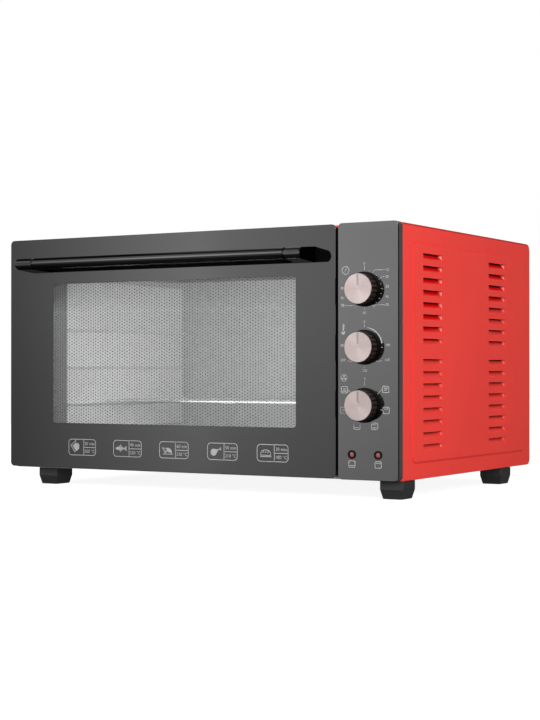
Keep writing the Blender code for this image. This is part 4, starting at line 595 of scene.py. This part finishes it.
class Print:
    """A flat print on a face that looks forward, gathered into one mesh."""

    def __init__(self, name, front, body, material, slot):
        self.name, self.body, self.material, self.slot = name, body, material, slot
        self.front = front
        self.shape = bmesh.new()

    def plate(self, outline):
        """A filled outline of (x, z) points."""
        near = [self.shape.verts.new((x, self.front, z)) for x, z in outline]
        far = [self.shape.verts.new((x, self.front + PRINT_DEPTH, z)) for x, z in outline]
        self.shape.faces.new(near)
        self.shape.faces.new(far[::-1])
        for index in range(len(near)):
            after = (index + 1) % len(near)
            self.shape.faces.new((near[index], far[index], far[after], near[after]))

    def line(self, points, width=LINE, closed=False):
        """A line of even width through the points, with square ends."""
        sides = offset_sides(points, width / 2, closed)
        count = len(points)
        rings = []
        for index in range(count):
            corners = []
            for side in sides:
                x, z = side[index]
                corners.append(self.shape.verts.new((x, self.front, z)))
                corners.append(self.shape.verts.new((x, self.front + PRINT_DEPTH, z)))
            rings.append(corners)
        pairs = list(zip(rings, rings[1:])) + ([(rings[-1], rings[0])] if closed else [])
        for first, second in pairs:
            for a, b in ((0, 2), (2, 3), (3, 1), (1, 0)):
                self.shape.faces.new((first[a], first[b], second[b], second[a]))
        if not closed:
            self.shape.faces.new([rings[0][index] for index in (0, 1, 3, 2)])
            self.shape.faces.new([rings[-1][index] for index in (0, 2, 3, 1)])

    def text(self, words, x, z, height=DIGIT_HEIGHT, widest=None):
        """Words with their middle at a place, drawn narrower where they are wider than the widest."""
        curve = bpy.data.curves.new(self.name, "FONT")
        curve.body = words
        curve.size = height / FONT_HEIGHT_SHARE
        curve.align_x = "CENTER"
        curve.resolution_u = 3
        curve.extrude = PRINT_DEPTH / 2
        thing = bpy.data.objects.new(self.name, curve)
        mesh = bpy.data.meshes.new_from_object(thing)
        reach = max(abs(point.co.x) for point in mesh.vertices) * 2
        share = min(1.0, widest / reach) if widest else 1.0
        turn = Matrix.Rotation(math.pi / 2, 4, "X") @ Matrix.Diagonal((share, 1, 1, 1))
        mesh.transform(Matrix.Translation((x, self.front + PRINT_DEPTH / 2, z - height / 2)) @ turn)
        self.shape.from_mesh(mesh)
        bpy.data.objects.remove(thing)
        bpy.data.meshes.remove(mesh)

    def finish(self):
        """Makes the piece, and puts it on its body."""
        bmesh.ops.recalc_face_normals(self.shape, faces=self.shape.faces)
        bmesh.ops.triangulate(self.shape, faces=self.shape.faces)
        mesh = bpy.data.meshes.new(self.name)
        self.shape.to_mesh(mesh)
        self.shape.free()
        piece = bpy.data.objects.new(self.name, mesh)
        bpy.context.scene.collection.objects.link(piece)
        mesh.materials.append(self.material)
        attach(piece, self.body)


def offset_sides(points, half, closed):
    """The two lines beside a line, at a distance of half its width, with mitred corners."""
    count = len(points)
    left, right = [], []
    for index, point in enumerate(points):
        here = Vector(point)
        before = Vector(points[index - 1]) if closed or index > 0 else None
        after = Vector(points[(index + 1) % count]) if closed or index < count - 1 else None
        ways = [way.normalized() for way in (before and here - before, after and after - here) if way]
        normals = [Vector((-way.y, way.x)) for way in ways]
        middle = sum(normals, Vector((0, 0))).normalized()
        reach = half / max(middle.dot(normals[0]), 0.5)
        left.append(here + middle * reach)
        right.append(here - middle * reach)
    return left, right


def arc(centre, radius, start, end, steps):
    """Points along an arc; the angles are in degrees."""
    points = []
    for step in range(steps + 1):
        angle = math.radians(start + (end - start) * step / steps)
        points.append((centre[0] + radius * math.cos(angle), centre[1] + radius * math.sin(angle)))
    return points


def ring(centre, radius, steps=24):
    return arc(centre, radius, 0, 360, steps)[:-1]


def rounded(left, right, low, high, radius, steps=4):
    points = arc((left + radius, low + radius), radius, 180, 270, steps)
    points += arc((right - radius, low + radius), radius, 270, 360, steps)
    points += arc((right - radius, high - radius), radius, 0, 90, steps)
    points += arc((left + radius, high - radius), radius, 90, 180, steps)
    return points


def window_dots():
    """The dark dots printed on the back of the door's glass, in staggered columns."""
    dots = Print("window_dots", DOOR_BACK + PRINT_GAP, "door", print_dark(), "black_glass")
    columns = int((WINDOW_RIGHT - WINDOW_LEFT + 2 * REAR_OPENING) / DOT_COLUMN)
    rows = int((WINDOW_HIGH - WINDOW_LOW + REAR_OPENING) / DOT_PITCH)
    start_x = (WINDOW_LEFT + WINDOW_RIGHT - columns * DOT_COLUMN) / 2
    start_z = (WINDOW_LOW + WINDOW_HIGH - rows * DOT_PITCH) / 2
    for column in range(columns + 1):
        shift = DOT_PITCH / 2 if column % 2 else 0
        for row in range(rows + 1 - column % 2):
            centre = (start_x + column * DOT_COLUMN, start_z + row * DOT_PITCH + shift)
            dots.plate(ring(centre, DOT_RADIUS, DOT_SIDES))
    dots.finish()


def place(across, up):
    """A point on the front, in millimetres from the door's lower left corner."""
    return DOOR_LOW.x + across * MILLIMETRE, DOOR_LOW.z + up * MILLIMETRE


def beside(centre, across, up):
    """A point some millimetres across and up from another."""
    return centre[0] + across * MILLIMETRE, centre[1] + up * MILLIMETRE


def shifted(points, centre, scale=1.0, turn=0.0):
    """Points in millimetres, turned by degrees and put round a centre in metres."""
    cos, sin = math.cos(math.radians(turn)), math.sin(math.radians(turn))
    grown = [(x * scale, z * scale) for x, z in points]
    turned = [(x * cos - z * sin, x * sin + z * cos) for x, z in grown]
    return [(centre[0] + x * MILLIMETRE, centre[1] + z * MILLIMETRE) for x, z in turned]


def oval(half_wide, half_tall, steps=20, start=0, end=360):
    points = arc((0, 0), 1.0, start, end, steps)
    points = points[:-1] if end - start == 360 else points
    return [(x * half_wide, z * half_tall) for x, z in points]


# Pictograms: each is drawn in millimetres round a centre, inside about 17 by 13 mm
THIN_STROKE = 0.8 * MILLIMETRE
STROKE = 1.0 * MILLIMETRE
TOAST_SIZE = 1.12
TOAST_TURN = -52
TOAST_CROWN_RISE = 1.6
DRUMSTICK_TURN = 8


def toast(sheet, centre):
    """A slice with a raised crown and two shoulders, and the edge of a second slice behind it."""
    outline = [(-4.2, -4.2), (4.2, -4.2), (4.2, 2.2)] + oval(4.9, 2.6, 10, 0, 180)[1:-1] + [(-4.2, 2.2)]
    outline = [(x, z + (TOAST_CROWN_RISE if z > 2.21 or abs(x) > 4.3 else 0)) for x, z in outline]
    middle = beside(centre, 0.6, 1.0)
    sheet.plate(shifted(outline, middle, TOAST_SIZE, TOAST_TURN))
    behind = [(-4.9, 3.0), (-6.0, 3.0), (-6.0, -5.9), (3.6, -5.9), (3.6, -4.9)]
    sheet.line(shifted(behind, middle, TOAST_SIZE, TOAST_TURN), THIN_STROKE)


def fish(sheet, centre):
    body = oval(6.6, 2.4, 24)
    sheet.plate(shifted(body, beside(centre, -2.2, 0)))
    tail = [(3.2, 0.0), (8.8, 3.4), (7.6, 0.0), (8.8, -3.4)]
    sheet.plate(shifted(tail, centre))
    fin = [(-4.4, 2.0), (-0.8, 4.9), (1.4, 1.4)]
    sheet.plate(shifted(fin, centre))
    sheet.plate(shifted([(x, -z) for x, z in fin], centre, 0.9))


def roast(sheet, centre):
    """A bird on a dish, with its two legs in the air."""
    sheet.plate(shifted(oval(6.2, 5.0, 20, 0, 180), beside(centre, 0.6, -2.4), turn=-16))
    for up, turn in ((0.9, 28), (-1.9, 42)):
        thigh = beside(centre, -4.0, up)
        sheet.plate(shifted(oval(2.9, 1.3, 14), thigh, turn=180 - turn))
        sheet.line(shifted([(-2.2, 0.0), (-5.0, 0.0)], thigh, turn=-turn), STROKE)
    sheet.line(shifted([(-7.4, 0.0), (7.4, 0.0)], beside(centre, 0.4, -5.2)), 0.9 * MILLIMETRE)


def drumstick(sheet, centre):
    drop = arc((-3.2, -0.6), 4.4, 62, 318, 18) + [(3.4, 0.8), (3.2, 2.2)]
    sheet.plate(shifted(drop, centre, turn=DRUMSTICK_TURN))
    sheet.line(shifted([(2.8, 1.5), (7.0, 2.2)], centre, turn=DRUMSTICK_TURN), 1.3 * MILLIMETRE)
    for shift in (0.9, -0.7):
        knuckle = shifted([(7.3, 2.2 + shift)], centre, turn=DRUMSTICK_TURN)[0]
        sheet.plate(shifted(oval(1.0, 1.0, 12), knuckle))


def loaf(sheet, centre):
    """A loaf with three cuts, on a baking tray."""
    middle = beside(centre, 0, -0.8)
    crust = oval(6.9, 4.6, 18, 0, 180) + [(-6.9, -2.0), (6.9, -2.0)]
    sheet.line(shifted(crust, middle), THIN_STROKE, closed=True)
    for shift in (-3.4, 0.0, 3.4):
        sheet.line(shifted([(shift - 0.9, 0.6), (shift + 0.9, 3.0)], middle), THIN_STROKE)
    sheet.line(shifted([(-7.9, 0), (7.9, 0)], beside(centre, 0, -4.4)), STROKE)


# Cooking hints: places and sizes in millimetres from the door's lower left corner
HINT_LEFTS = (97.8, 170.0, 241.5, 313.5, 385.3)
HINT_LEVEL = 27.5
HINT_SIZE = (43.5, 20.5)
HINT_CORNER = 4.4
HINT_DIVIDER = 24.2
HINT_WORDS = (
    ("20 min", "200 \u00b0C"),
    ("40 min", "220 \u00b0C"),
    ("60 min", "230 \u00b0C"),
    ("50 min", "210 \u00b0C"),
    ("30 min", "180 \u00b0C"),
)
HINT_LINE = 0.85 * MILLIMETRE
HINT_WORD_HEIGHT = 4.1 * MILLIMETRE
HINT_WORD_WIDEST = 16.4 * MILLIMETRE
HINT_WORD_RISE = HINT_SIZE[1] / 4 - 0.2


def door_print():
    """Five framed cooking hints along the door's lower edge."""
    sheet = Print("door_print", GLASS_FACE - PRINT_GAP - PRINT_DEPTH, "door", print_white(), "black_glass")
    wide, tall = HINT_SIZE
    for left, drawing, words in zip(HINT_LEFTS, (toast, fish, roast, drumstick, loaf), HINT_WORDS):
        low_x, low_z = place(left, HINT_LEVEL - tall / 2)
        high_x, high_z = place(left + wide, HINT_LEVEL + tall / 2)
        outline = rounded(low_x, high_x, low_z, high_z, HINT_CORNER * MILLIMETRE, 5)
        sheet.line(outline, HINT_LINE, closed=True)
        middle = (low_z + high_z) / 2
        divider = low_x + HINT_DIVIDER * MILLIMETRE
        sheet.line([(divider, low_z), (divider, high_z)], HINT_LINE)
        sheet.line([(divider, middle), (high_x, middle)], HINT_LINE)
        drawing(sheet, ((low_x + divider) / 2, middle))
        words_middle = ((divider + high_x) / 2, middle)
        for word, up in zip(words, (HINT_WORD_RISE, -HINT_WORD_RISE)):
            sheet.text(word, *beside(words_middle, 0, up), HINT_WORD_HEIGHT, HINT_WORD_WIDEST)
    sheet.finish()


# Scales round the knobs, in millimetres from a knob's axis and degrees clockwise from its top
TICK_NEAR = 21.6
TICK_FAR = 24.0
SHORT_TICK = 1.2
COLUMN_RIGHT = 29.6
COLUMN_LEFT = -28.8
LEADER_RIGHT = 26.6
LEADER_LEFT = -25.6
TIMER_NUMBERS = (
    (10, COLUMN_RIGHT, 22.0),
    (20, COLUMN_RIGHT, 13.9),
    (30, COLUMN_RIGHT, 2.4),
    (40, COLUMN_RIGHT, -9.3),
    (50, COLUMN_RIGHT, -18.6),
    (60, 0, -27.5),
    (70, COLUMN_LEFT, -18.5),
    (80, COLUMN_LEFT, -9.6),
    (90, COLUMN_LEFT, 1.4),
)
HEAT_NUMBERS = (
    (100, COLUMN_RIGHT + 0.6, 2.5, 90),
    (150, COLUMN_RIGHT, -14.6, 135),
    (200, 0.6, -27.2, 180),
    (250, COLUMN_LEFT + 0.4, -14.8, 225),
    (300, COLUMN_LEFT, 2.3, 270),
)
HEAT_ARC_START = 9
HEAT_ARC_SWEEP = 70
HEAT_ARC_STEPS = 20
FUNCTION_STEP = 51.4
FUNCTION_SIGNS = (
    (51.4, 27.6, 18.8, ("top", "fan")),
    (102.9, 28.2, -5.6, ("top",)),
    (154.3, 13.4, -24.3, ("top", "bottom")),
    (205.7, -9.9, -24.6, ("bottom",)),
    (257.1, -27.7, -6.2, ("fan",)),
    (308.6, -26.5, 18.0, ("bottom", "fan")),
)
OVEN_HALF = (4.1 * MILLIMETRE, 3.7 * MILLIMETRE)
OVEN_CORNER = 1.2 * MILLIMETRE
OVEN_LINE = 0.75 * MILLIMETRE
HEAT_BAR = (3.0, 1.7)
HEAT_BAR_LINE = 0.7 * MILLIMETRE
LAMP_SIGN_DROP = -11.2
LEAST_CLIMB = 0.2 * MILLIMETRE


def around(centre, radius, clock):
    """A place round a knob: millimetres from its axis, at degrees clockwise from the top."""
    angle = math.radians(90 - clock)
    reach = radius * MILLIMETRE
    return centre[0] + reach * math.cos(angle), centre[1] + reach * math.sin(angle)


def tick(sheet, centre, clock, far=TICK_FAR, width=FINE_LINE):
    sheet.line([around(centre, TICK_NEAR, clock), around(centre, far, clock)], width)


def leader(sheet, centre, clock, across, up):
    """A tick, and a line from its end to the height of the number that it leads to."""
    end = around(centre, TICK_FAR, clock)
    number = beside(centre, across, up)
    climb = number[1] - end[1]
    points = [around(centre, TICK_NEAR, clock), end]
    if abs(climb) > LEAST_CLIMB:
        points.append((end[0] + math.copysign(climb, across), number[1]))
    points.append(number)
    sheet.line(points, FINE_LINE)


def oven_sign(sheet, centre, marks):
    """A small oven box, with heat bars at the top or the bottom, or a fan, inside it."""
    wide, tall = OVEN_HALF
    box = rounded(centre[0] - wide, centre[0] + wide, centre[1] - tall, centre[1] + tall, OVEN_CORNER, 3)
    sheet.line(box, OVEN_LINE, closed=True)
    reach, rise = HEAT_BAR
    for mark in marks:
        if mark in ("top", "bottom"):
            level = rise if mark == "top" else -rise
            sheet.line([beside(centre, -reach, level), beside(centre, reach, level)], HEAT_BAR_LINE)
        else:
            for blade in range(4):
                turn = 45 + 90 * blade
                sheet.plate(shifted([(0.3, 0.0), (1.2, 0.7), (2.3, 0.0), (1.2, -0.7)], centre, turn=turn))


def timer_print(sheet, centre):
    """The timer's minutes, and a clock."""
    sheet.text("0", *beside(centre, 0, 30.1))
    sheet.line([beside(centre, 0, 22.0), beside(centre, 0, 27.2)], LINE)
    leader(sheet, centre, 30, LEADER_RIGHT, 22.0)
    leader(sheet, centre, 60, LEADER_RIGHT, 13.9)
    leader(sheet, centre, 150, LEADER_RIGHT, -18.8)
    leader(sheet, centre, 210, LEADER_LEFT, -19.0)
    for clock in (90, 120, 180, 240, 270):
        tick(sheet, centre, clock)
    for clock in range(15, 270, 30):
        tick(sheet, centre, clock, far=TICK_NEAR + SHORT_TICK)
    for number, across, up in TIMER_NUMBERS:
        sheet.text(str(number), *beside(centre, across, up))
    clock_face = beside(centre, -24.9, 22.6)
    sheet.line(ring(clock_face, 4.6 * MILLIMETRE), THIN_STROKE, closed=True)
    sheet.line(shifted([(-0.9, -2.6), (-0.5, 0.2), (1.3, 2.4)], clock_face), LINE)
    sheet.line(shifted([(0.2, 3.0), (1.4, 2.6), (1.3, 1.4)], clock_face), FINE_LINE)


def thermostat_print(sheet, centre):
    """The thermostat's degrees, the widening arc that leads to them, and a thermometer."""
    sheet.text("0", *beside(centre, 0, 29.6))
    sheet.line([beside(centre, 0, 23.2), beside(centre, 0, 26.6)], LINE)
    for number, across, up, clock in HEAT_NUMBERS:
        sheet.text(str(number), *beside(centre, across, up))
        tick(sheet, centre, clock, far=TICK_FAR + 0.4)
    sheet.line([around(centre, TICK_FAR, 225), beside(centre, -22.4, -15.6)], FINE_LINE)
    sheet.line([around(centre, TICK_FAR, 135), beside(centre, 22.4, -15.6)], FINE_LINE)
    pairs = []
    for step in range(HEAT_ARC_STEPS + 1):
        share = step / HEAT_ARC_STEPS
        clock = HEAT_ARC_START + HEAT_ARC_SWEEP * share
        pairs.append((around(centre, 23.6 + 0.7 * share, clock), around(centre, 22.9 - 0.4 * share, clock)))
    for (outer, inner), (next_outer, next_inner) in zip(pairs, pairs[1:]):
        sheet.plate([outer, next_outer, next_inner, inner])
    stem = beside(centre, -28.0, 22.0)
    sheet.line(shifted([(0, -4.0), (0, 5.8)], stem), 1.5 * MILLIMETRE)
    sheet.plate(shifted(oval(2.3, 2.3), beside(stem, 0, -4.6)))
    for level in (0.6, 2.4, 4.2):
        sheet.line(shifted([(1.0, level), (2.3, level)], stem), FINE_LINE)


def function_print(sheet, centre):
    """The oven signs of the function dial, and a fan."""
    sheet.text("0", *beside(centre, 0.5, 30.9))
    sheet.line([beside(centre, 0, 23.0), beside(centre, 0, 27.6)], LINE)
    for clock, across, up, marks in FUNCTION_SIGNS:
        tick(sheet, centre, clock, width=LINE)
        oven_sign(sheet, beside(centre, across, up), marks)
    for side, up in ((1, 18.8), (-1, 18.0)):
        start = around(centre, TICK_FAR - 0.4, FUNCTION_STEP * side)
        level = beside(centre, 0, up)[1]
        corner = (start[0] + side * abs(level - start[1]), level)
        sheet.line([start, corner, beside(centre, side * 21.6 + 0.4, up)], LINE)
    fan = beside(centre, -27.1, 32.0)
    for blade in range(3):
        petal = [(x + 2.0, z) for x, z in oval(1.5, 0.95, 10)]
        sheet.plate(shifted(petal, fan, turn=90 + 120 * blade))
    sheet.line(ring(fan, 4.0 * MILLIMETRE, 20), FINE_LINE, closed=True)


def fascia_print():
    """The scales and signs round the knobs and under the lamps."""
    white = print_white("fascia_white_painted_light", painted_light_by_knobs=True)
    sheet = Print("fascia_print", GLASS_FACE - PRINT_GAP - PRINT_DEPTH, "root", white, "black_glass")
    timer_print(sheet, knob_centre("timer"))
    thermostat_print(sheet, knob_centre("thermostat"))
    function_print(sheet, knob_centre("function"))
    for name, marks in (("power", ("bottom",)), ("heating", ("top",))):
        low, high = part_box(name + "_lamp_lens")
        under = beside(((low.x + high.x) / 2, (low.z + high.z) / 2), 0, LAMP_SIGN_DROP)
        oven_sign(sheet, under, marks)
    sheet.finish()


# Studio


def camera():
    """The photograph's own view."""
    data = bpy.data.cameras.new("camera")
    data.lens = CAMERA_LENS
    data.sensor_width = SENSOR
    data.sensor_fit = "AUTO"
    thing = bpy.data.objects.new("camera", data)
    thing.location = CAMERA_PLACE
    thing.rotation_euler = (math.radians(90 + CAMERA_PITCH), 0, math.radians(CAMERA_YAW))
    bpy.context.scene.collection.objects.link(thing)
    bpy.context.scene.camera = thing


def area_light(name, place, target, size, power, glossy=False):
    """A light that the camera never sees, and that mirrors see only where it is glossy."""
    data = bpy.data.lights.new(name, "AREA")
    data.shape = "RECTANGLE"
    data.size, data.size_y = size
    data.energy = power
    thing = bpy.data.objects.new(name, data)
    thing.location = place
    thing.rotation_euler = (Vector(target) - Vector(place)).to_track_quat("-Z", "Y").to_euler()
    thing.visible_camera = False
    thing.visible_glossy = glossy
    bpy.context.scene.collection.objects.link(thing)


def wired(tree, kind, *sources, **values):
    """A new node with its first inputs linked."""
    node = tree.nodes.new(kind)
    for key, value in values.items():
        setattr(node, key, value)
    for socket, source in zip(node.inputs, sources):
        tree.links.new(source, socket)
    return node


def ramp(tree, value, stops):
    """A grey level that depends on a value, through stops of position and level."""
    node = wired(tree, "ShaderNodeValToRGB", value)
    elements = node.color_ramp.elements
    while len(elements) < len(stops):
        elements.new(0.5)
    for element, (position, level) in zip(elements, stops):
        element.position = position
        element.color = (level, level, level, 1)
    return node.outputs["Color"]


# How bright the studio looks in a mirror. Each light is a product of three ramps, over the height of
# the direction (0 is down, 0.5 level, 1 up), how far it points forward (0 is back, 1 front), and how
# far it points right (0 is left, 1 right).
SOFTBOX = (
    ((0.0, 0.05), (0.18, 0.055), (0.255, 0.07), (0.37, 0.30), (0.45, 0.55), (0.468, 0.66), (0.497, 0.82),
     (0.516, 0.96), (0.53, 1.02), (0.545, 1.0), (0.575, 2.1), (0.62, 3.1), (0.70, 3.2), (0.76, 2.4),
     (0.81, 1.2), (0.85, 0.25), (0.90, 0.05), (1.0, 0.04)),
    ((0.0, 0.0), (0.48, 0.0), (0.55, 0.45), (0.65, 1.0), (1.0, 1.0)),
    ((0.0, 0.40), (0.178, 0.42), (0.195, 0.72), (0.21, 1.0), (0.226, 1.24), (0.234, 1.04), (0.25, 0.90),
     (0.262, 0.84), (0.28, 0.77), (0.58, 0.85), (0.68, 0.20), (0.82, 0.20), (0.90, 0.80), (1.0, 0.80)),
)
OVERHEAD = (
    ((0.0, 0.0), (0.66, 0.0), (0.76, 0.5), (1.0, 0.5)),
    ((0.0, 1.0), (0.45, 1.0), (0.50, 0.5), (0.56, 0.0)),
    ((0.0, 0.0), (0.21, 0.0), (0.25, 1.0), (1.0, 1.0)),
)
REAR_WALLS = (
    ((0.0, 0.3), (0.25, 0.6), (0.72, 0.6), (0.80, 0.0)),
    ((0.0, 1.0), (0.33, 1.0), (0.42, 0.0), (1.0, 0.0)),
    ((0.0, 1.0), (0.13, 1.0), (0.16, 0.0), (0.30, 0.0), (0.33, 1.0), (0.54, 1.0), (0.60, 0.0),
     (0.82, 0.0), (0.85, 1.0), (1.0, 1.0)),
)


AMBIENT = 0.45


def blended(tree, first, second, kind):
    node = tree.nodes.new("ShaderNodeMix")
    node.data_type = "RGBA"
    node.blend_type = kind
    node.inputs[0].default_value = 1.0
    tree.links.new(first, node.inputs[6])
    tree.links.new(second, node.inputs[7])
    return node.outputs[2]


def background(tree, strength):
    node = tree.nodes.new("ShaderNodeBackground")
    node.inputs["Color"].default_value = (1, 1, 1, 1)
    node.inputs["Strength"].default_value = strength
    return node


def mirror_light(tree):
    """What mirrors see: the sum of the three softboxes."""
    place = tree.nodes.new("ShaderNodeTexCoord")
    parts = wired(tree, "ShaderNodeSeparateXYZ", place.outputs["Generated"])
    ways = []
    for part, side in (("Z", 1), ("Y", -1), ("X", 1)):
        way = wired(tree, "ShaderNodeMath", parts.outputs[part], operation="MULTIPLY_ADD")
        way.inputs[1].default_value = 0.5 * side
        way.inputs[2].default_value = 0.5
        ways.append(way.outputs[0])
    seen = None
    for lists in (SOFTBOX, OVERHEAD, REAR_WALLS):
        levels = [ramp(tree, way, stops) for way, stops in zip(ways, lists)]
        light = blended(tree, levels[0], levels[1], "MULTIPLY")
        light = blended(tree, light, levels[2], "MULTIPLY")
        seen = blended(tree, seen, light, "ADD") if seen else light
    return seen


def studio_world():
    """White for the camera, plain light for matt faces, and the softboxes for mirrors."""
    world = bpy.data.worlds.new("studio")
    bpy.context.scene.world = world
    world.use_nodes = True
    tree = world.node_tree
    tree.nodes.clear()
    mirror = wired(tree, "ShaderNodeBackground", mirror_light(tree))
    soft = background(tree, AMBIENT)
    white = background(tree, 1.0)
    ray = tree.nodes.new("ShaderNodeLightPath").outputs
    lit = wired(tree, "ShaderNodeMixShader", ray["Is Glossy Ray"], soft.outputs[0], mirror.outputs[0])
    straight = (ray["Is Camera Ray"], ray["Is Transmission Ray"])
    straight = wired(tree, "ShaderNodeMath", *straight, operation="MAXIMUM")
    seen = wired(tree, "ShaderNodeMixShader", straight.outputs[0], lit.outputs[0], white.outputs[0])
    wired(tree, "ShaderNodeOutputWorld", seen.outputs[0])


FLOOR_RADIUS = 6.0
FLOOR_GLOW = 0.90
FLOOR_SHADE = (0.26, 0.26, 0.26)


def floor():
    """A white floor that keeps a faint shadow and that mirrors don't see."""
    mesh = bpy.data.meshes.new("floor")
    shape = bmesh.new()
    bmesh.ops.create_circle(shape, cap_ends=True, radius=FLOOR_RADIUS, segments=64)
    shape.to_mesh(mesh)
    shape.free()
    thing = bpy.data.objects.new("floor", mesh)
    bpy.context.scene.collection.objects.link(thing)
    material = bpy.data.materials.new("floor")
    material.use_nodes = True
    tree = material.node_tree
    tree.nodes.clear()
    matt = tree.nodes.new("ShaderNodeBsdfDiffuse")
    matt.inputs["Color"].default_value = (*FLOOR_SHADE, 1)
    glow = tree.nodes.new("ShaderNodeEmission")
    glow.inputs["Strength"].default_value = FLOOR_GLOW
    bright = wired(tree, "ShaderNodeAddShader", matt.outputs[0], glow.outputs[0])
    clear = tree.nodes.new("ShaderNodeBsdfTransparent")
    ray = tree.nodes.new("ShaderNodeLightPath").outputs
    plain_view = (ray["Is Camera Ray"], matt.outputs[0], bright.outputs[0])
    plain_view = wired(tree, "ShaderNodeMixShader", *plain_view)
    whole = wired(tree, "ShaderNodeMixShader", ray["Is Glossy Ray"], plain_view.outputs[0], clear.outputs[0])
    wired(tree, "ShaderNodeOutputMaterial", whole.outputs[0])
    mesh.materials.append(material)


# Lights in the studio and, to light the window, inside the cavity near its mouth
CAVITY_FRONT = LINER_LOW.y + 0.010
CAVITY_MIDDLE = 0.175


def lights():
    """Four in the studio, and three small ones in the cavity."""
    area_light("front_light", (0.2, -2.6, 1.6), (0.0, 0.0, 0.15), (2.4, 1.6), 32)
    area_light("right_light", (1.4, -1.28, 0.60), (0.28, 0.0, 0.15), (1.0, 0.8), 24.5)
    area_light("left_light", (-1.9, 0.3, 0.9), (-0.28, 0.0, 0.15), (1.0, 0.8), 26)
    area_light("rear_light", (0.4, 2.4, 1.1), (0.0, 0.2, 0.15), (1.6, 1.0), 16)
    mouth, back = (0.08, CAVITY_FRONT, CAVITY_MIDDLE), (0.08, LINER_HIGH.y, CAVITY_MIDDLE)
    area_light("cavity_light", mouth, back, (0.14, 0.18), 0.74)
    area_light("corner_light", (-0.02, -0.02, 0.115), (-0.25, 0.12, 0.19), (0.14, 0.06), 0.05)
    over_rack, on_rack = (-0.04, CAVITY_FRONT, 0.235), (-0.04, -0.10, 0.10)
    area_light("rack_light", over_rack, on_rack, (0.40, 0.04), 0.13, glossy=True)


dress_frame()
camera()
studio_world()
floor()
lights()
window_dots()
door_print()
fascia_print()

bpy.context.scene.view_settings.view_transform = "Standard"
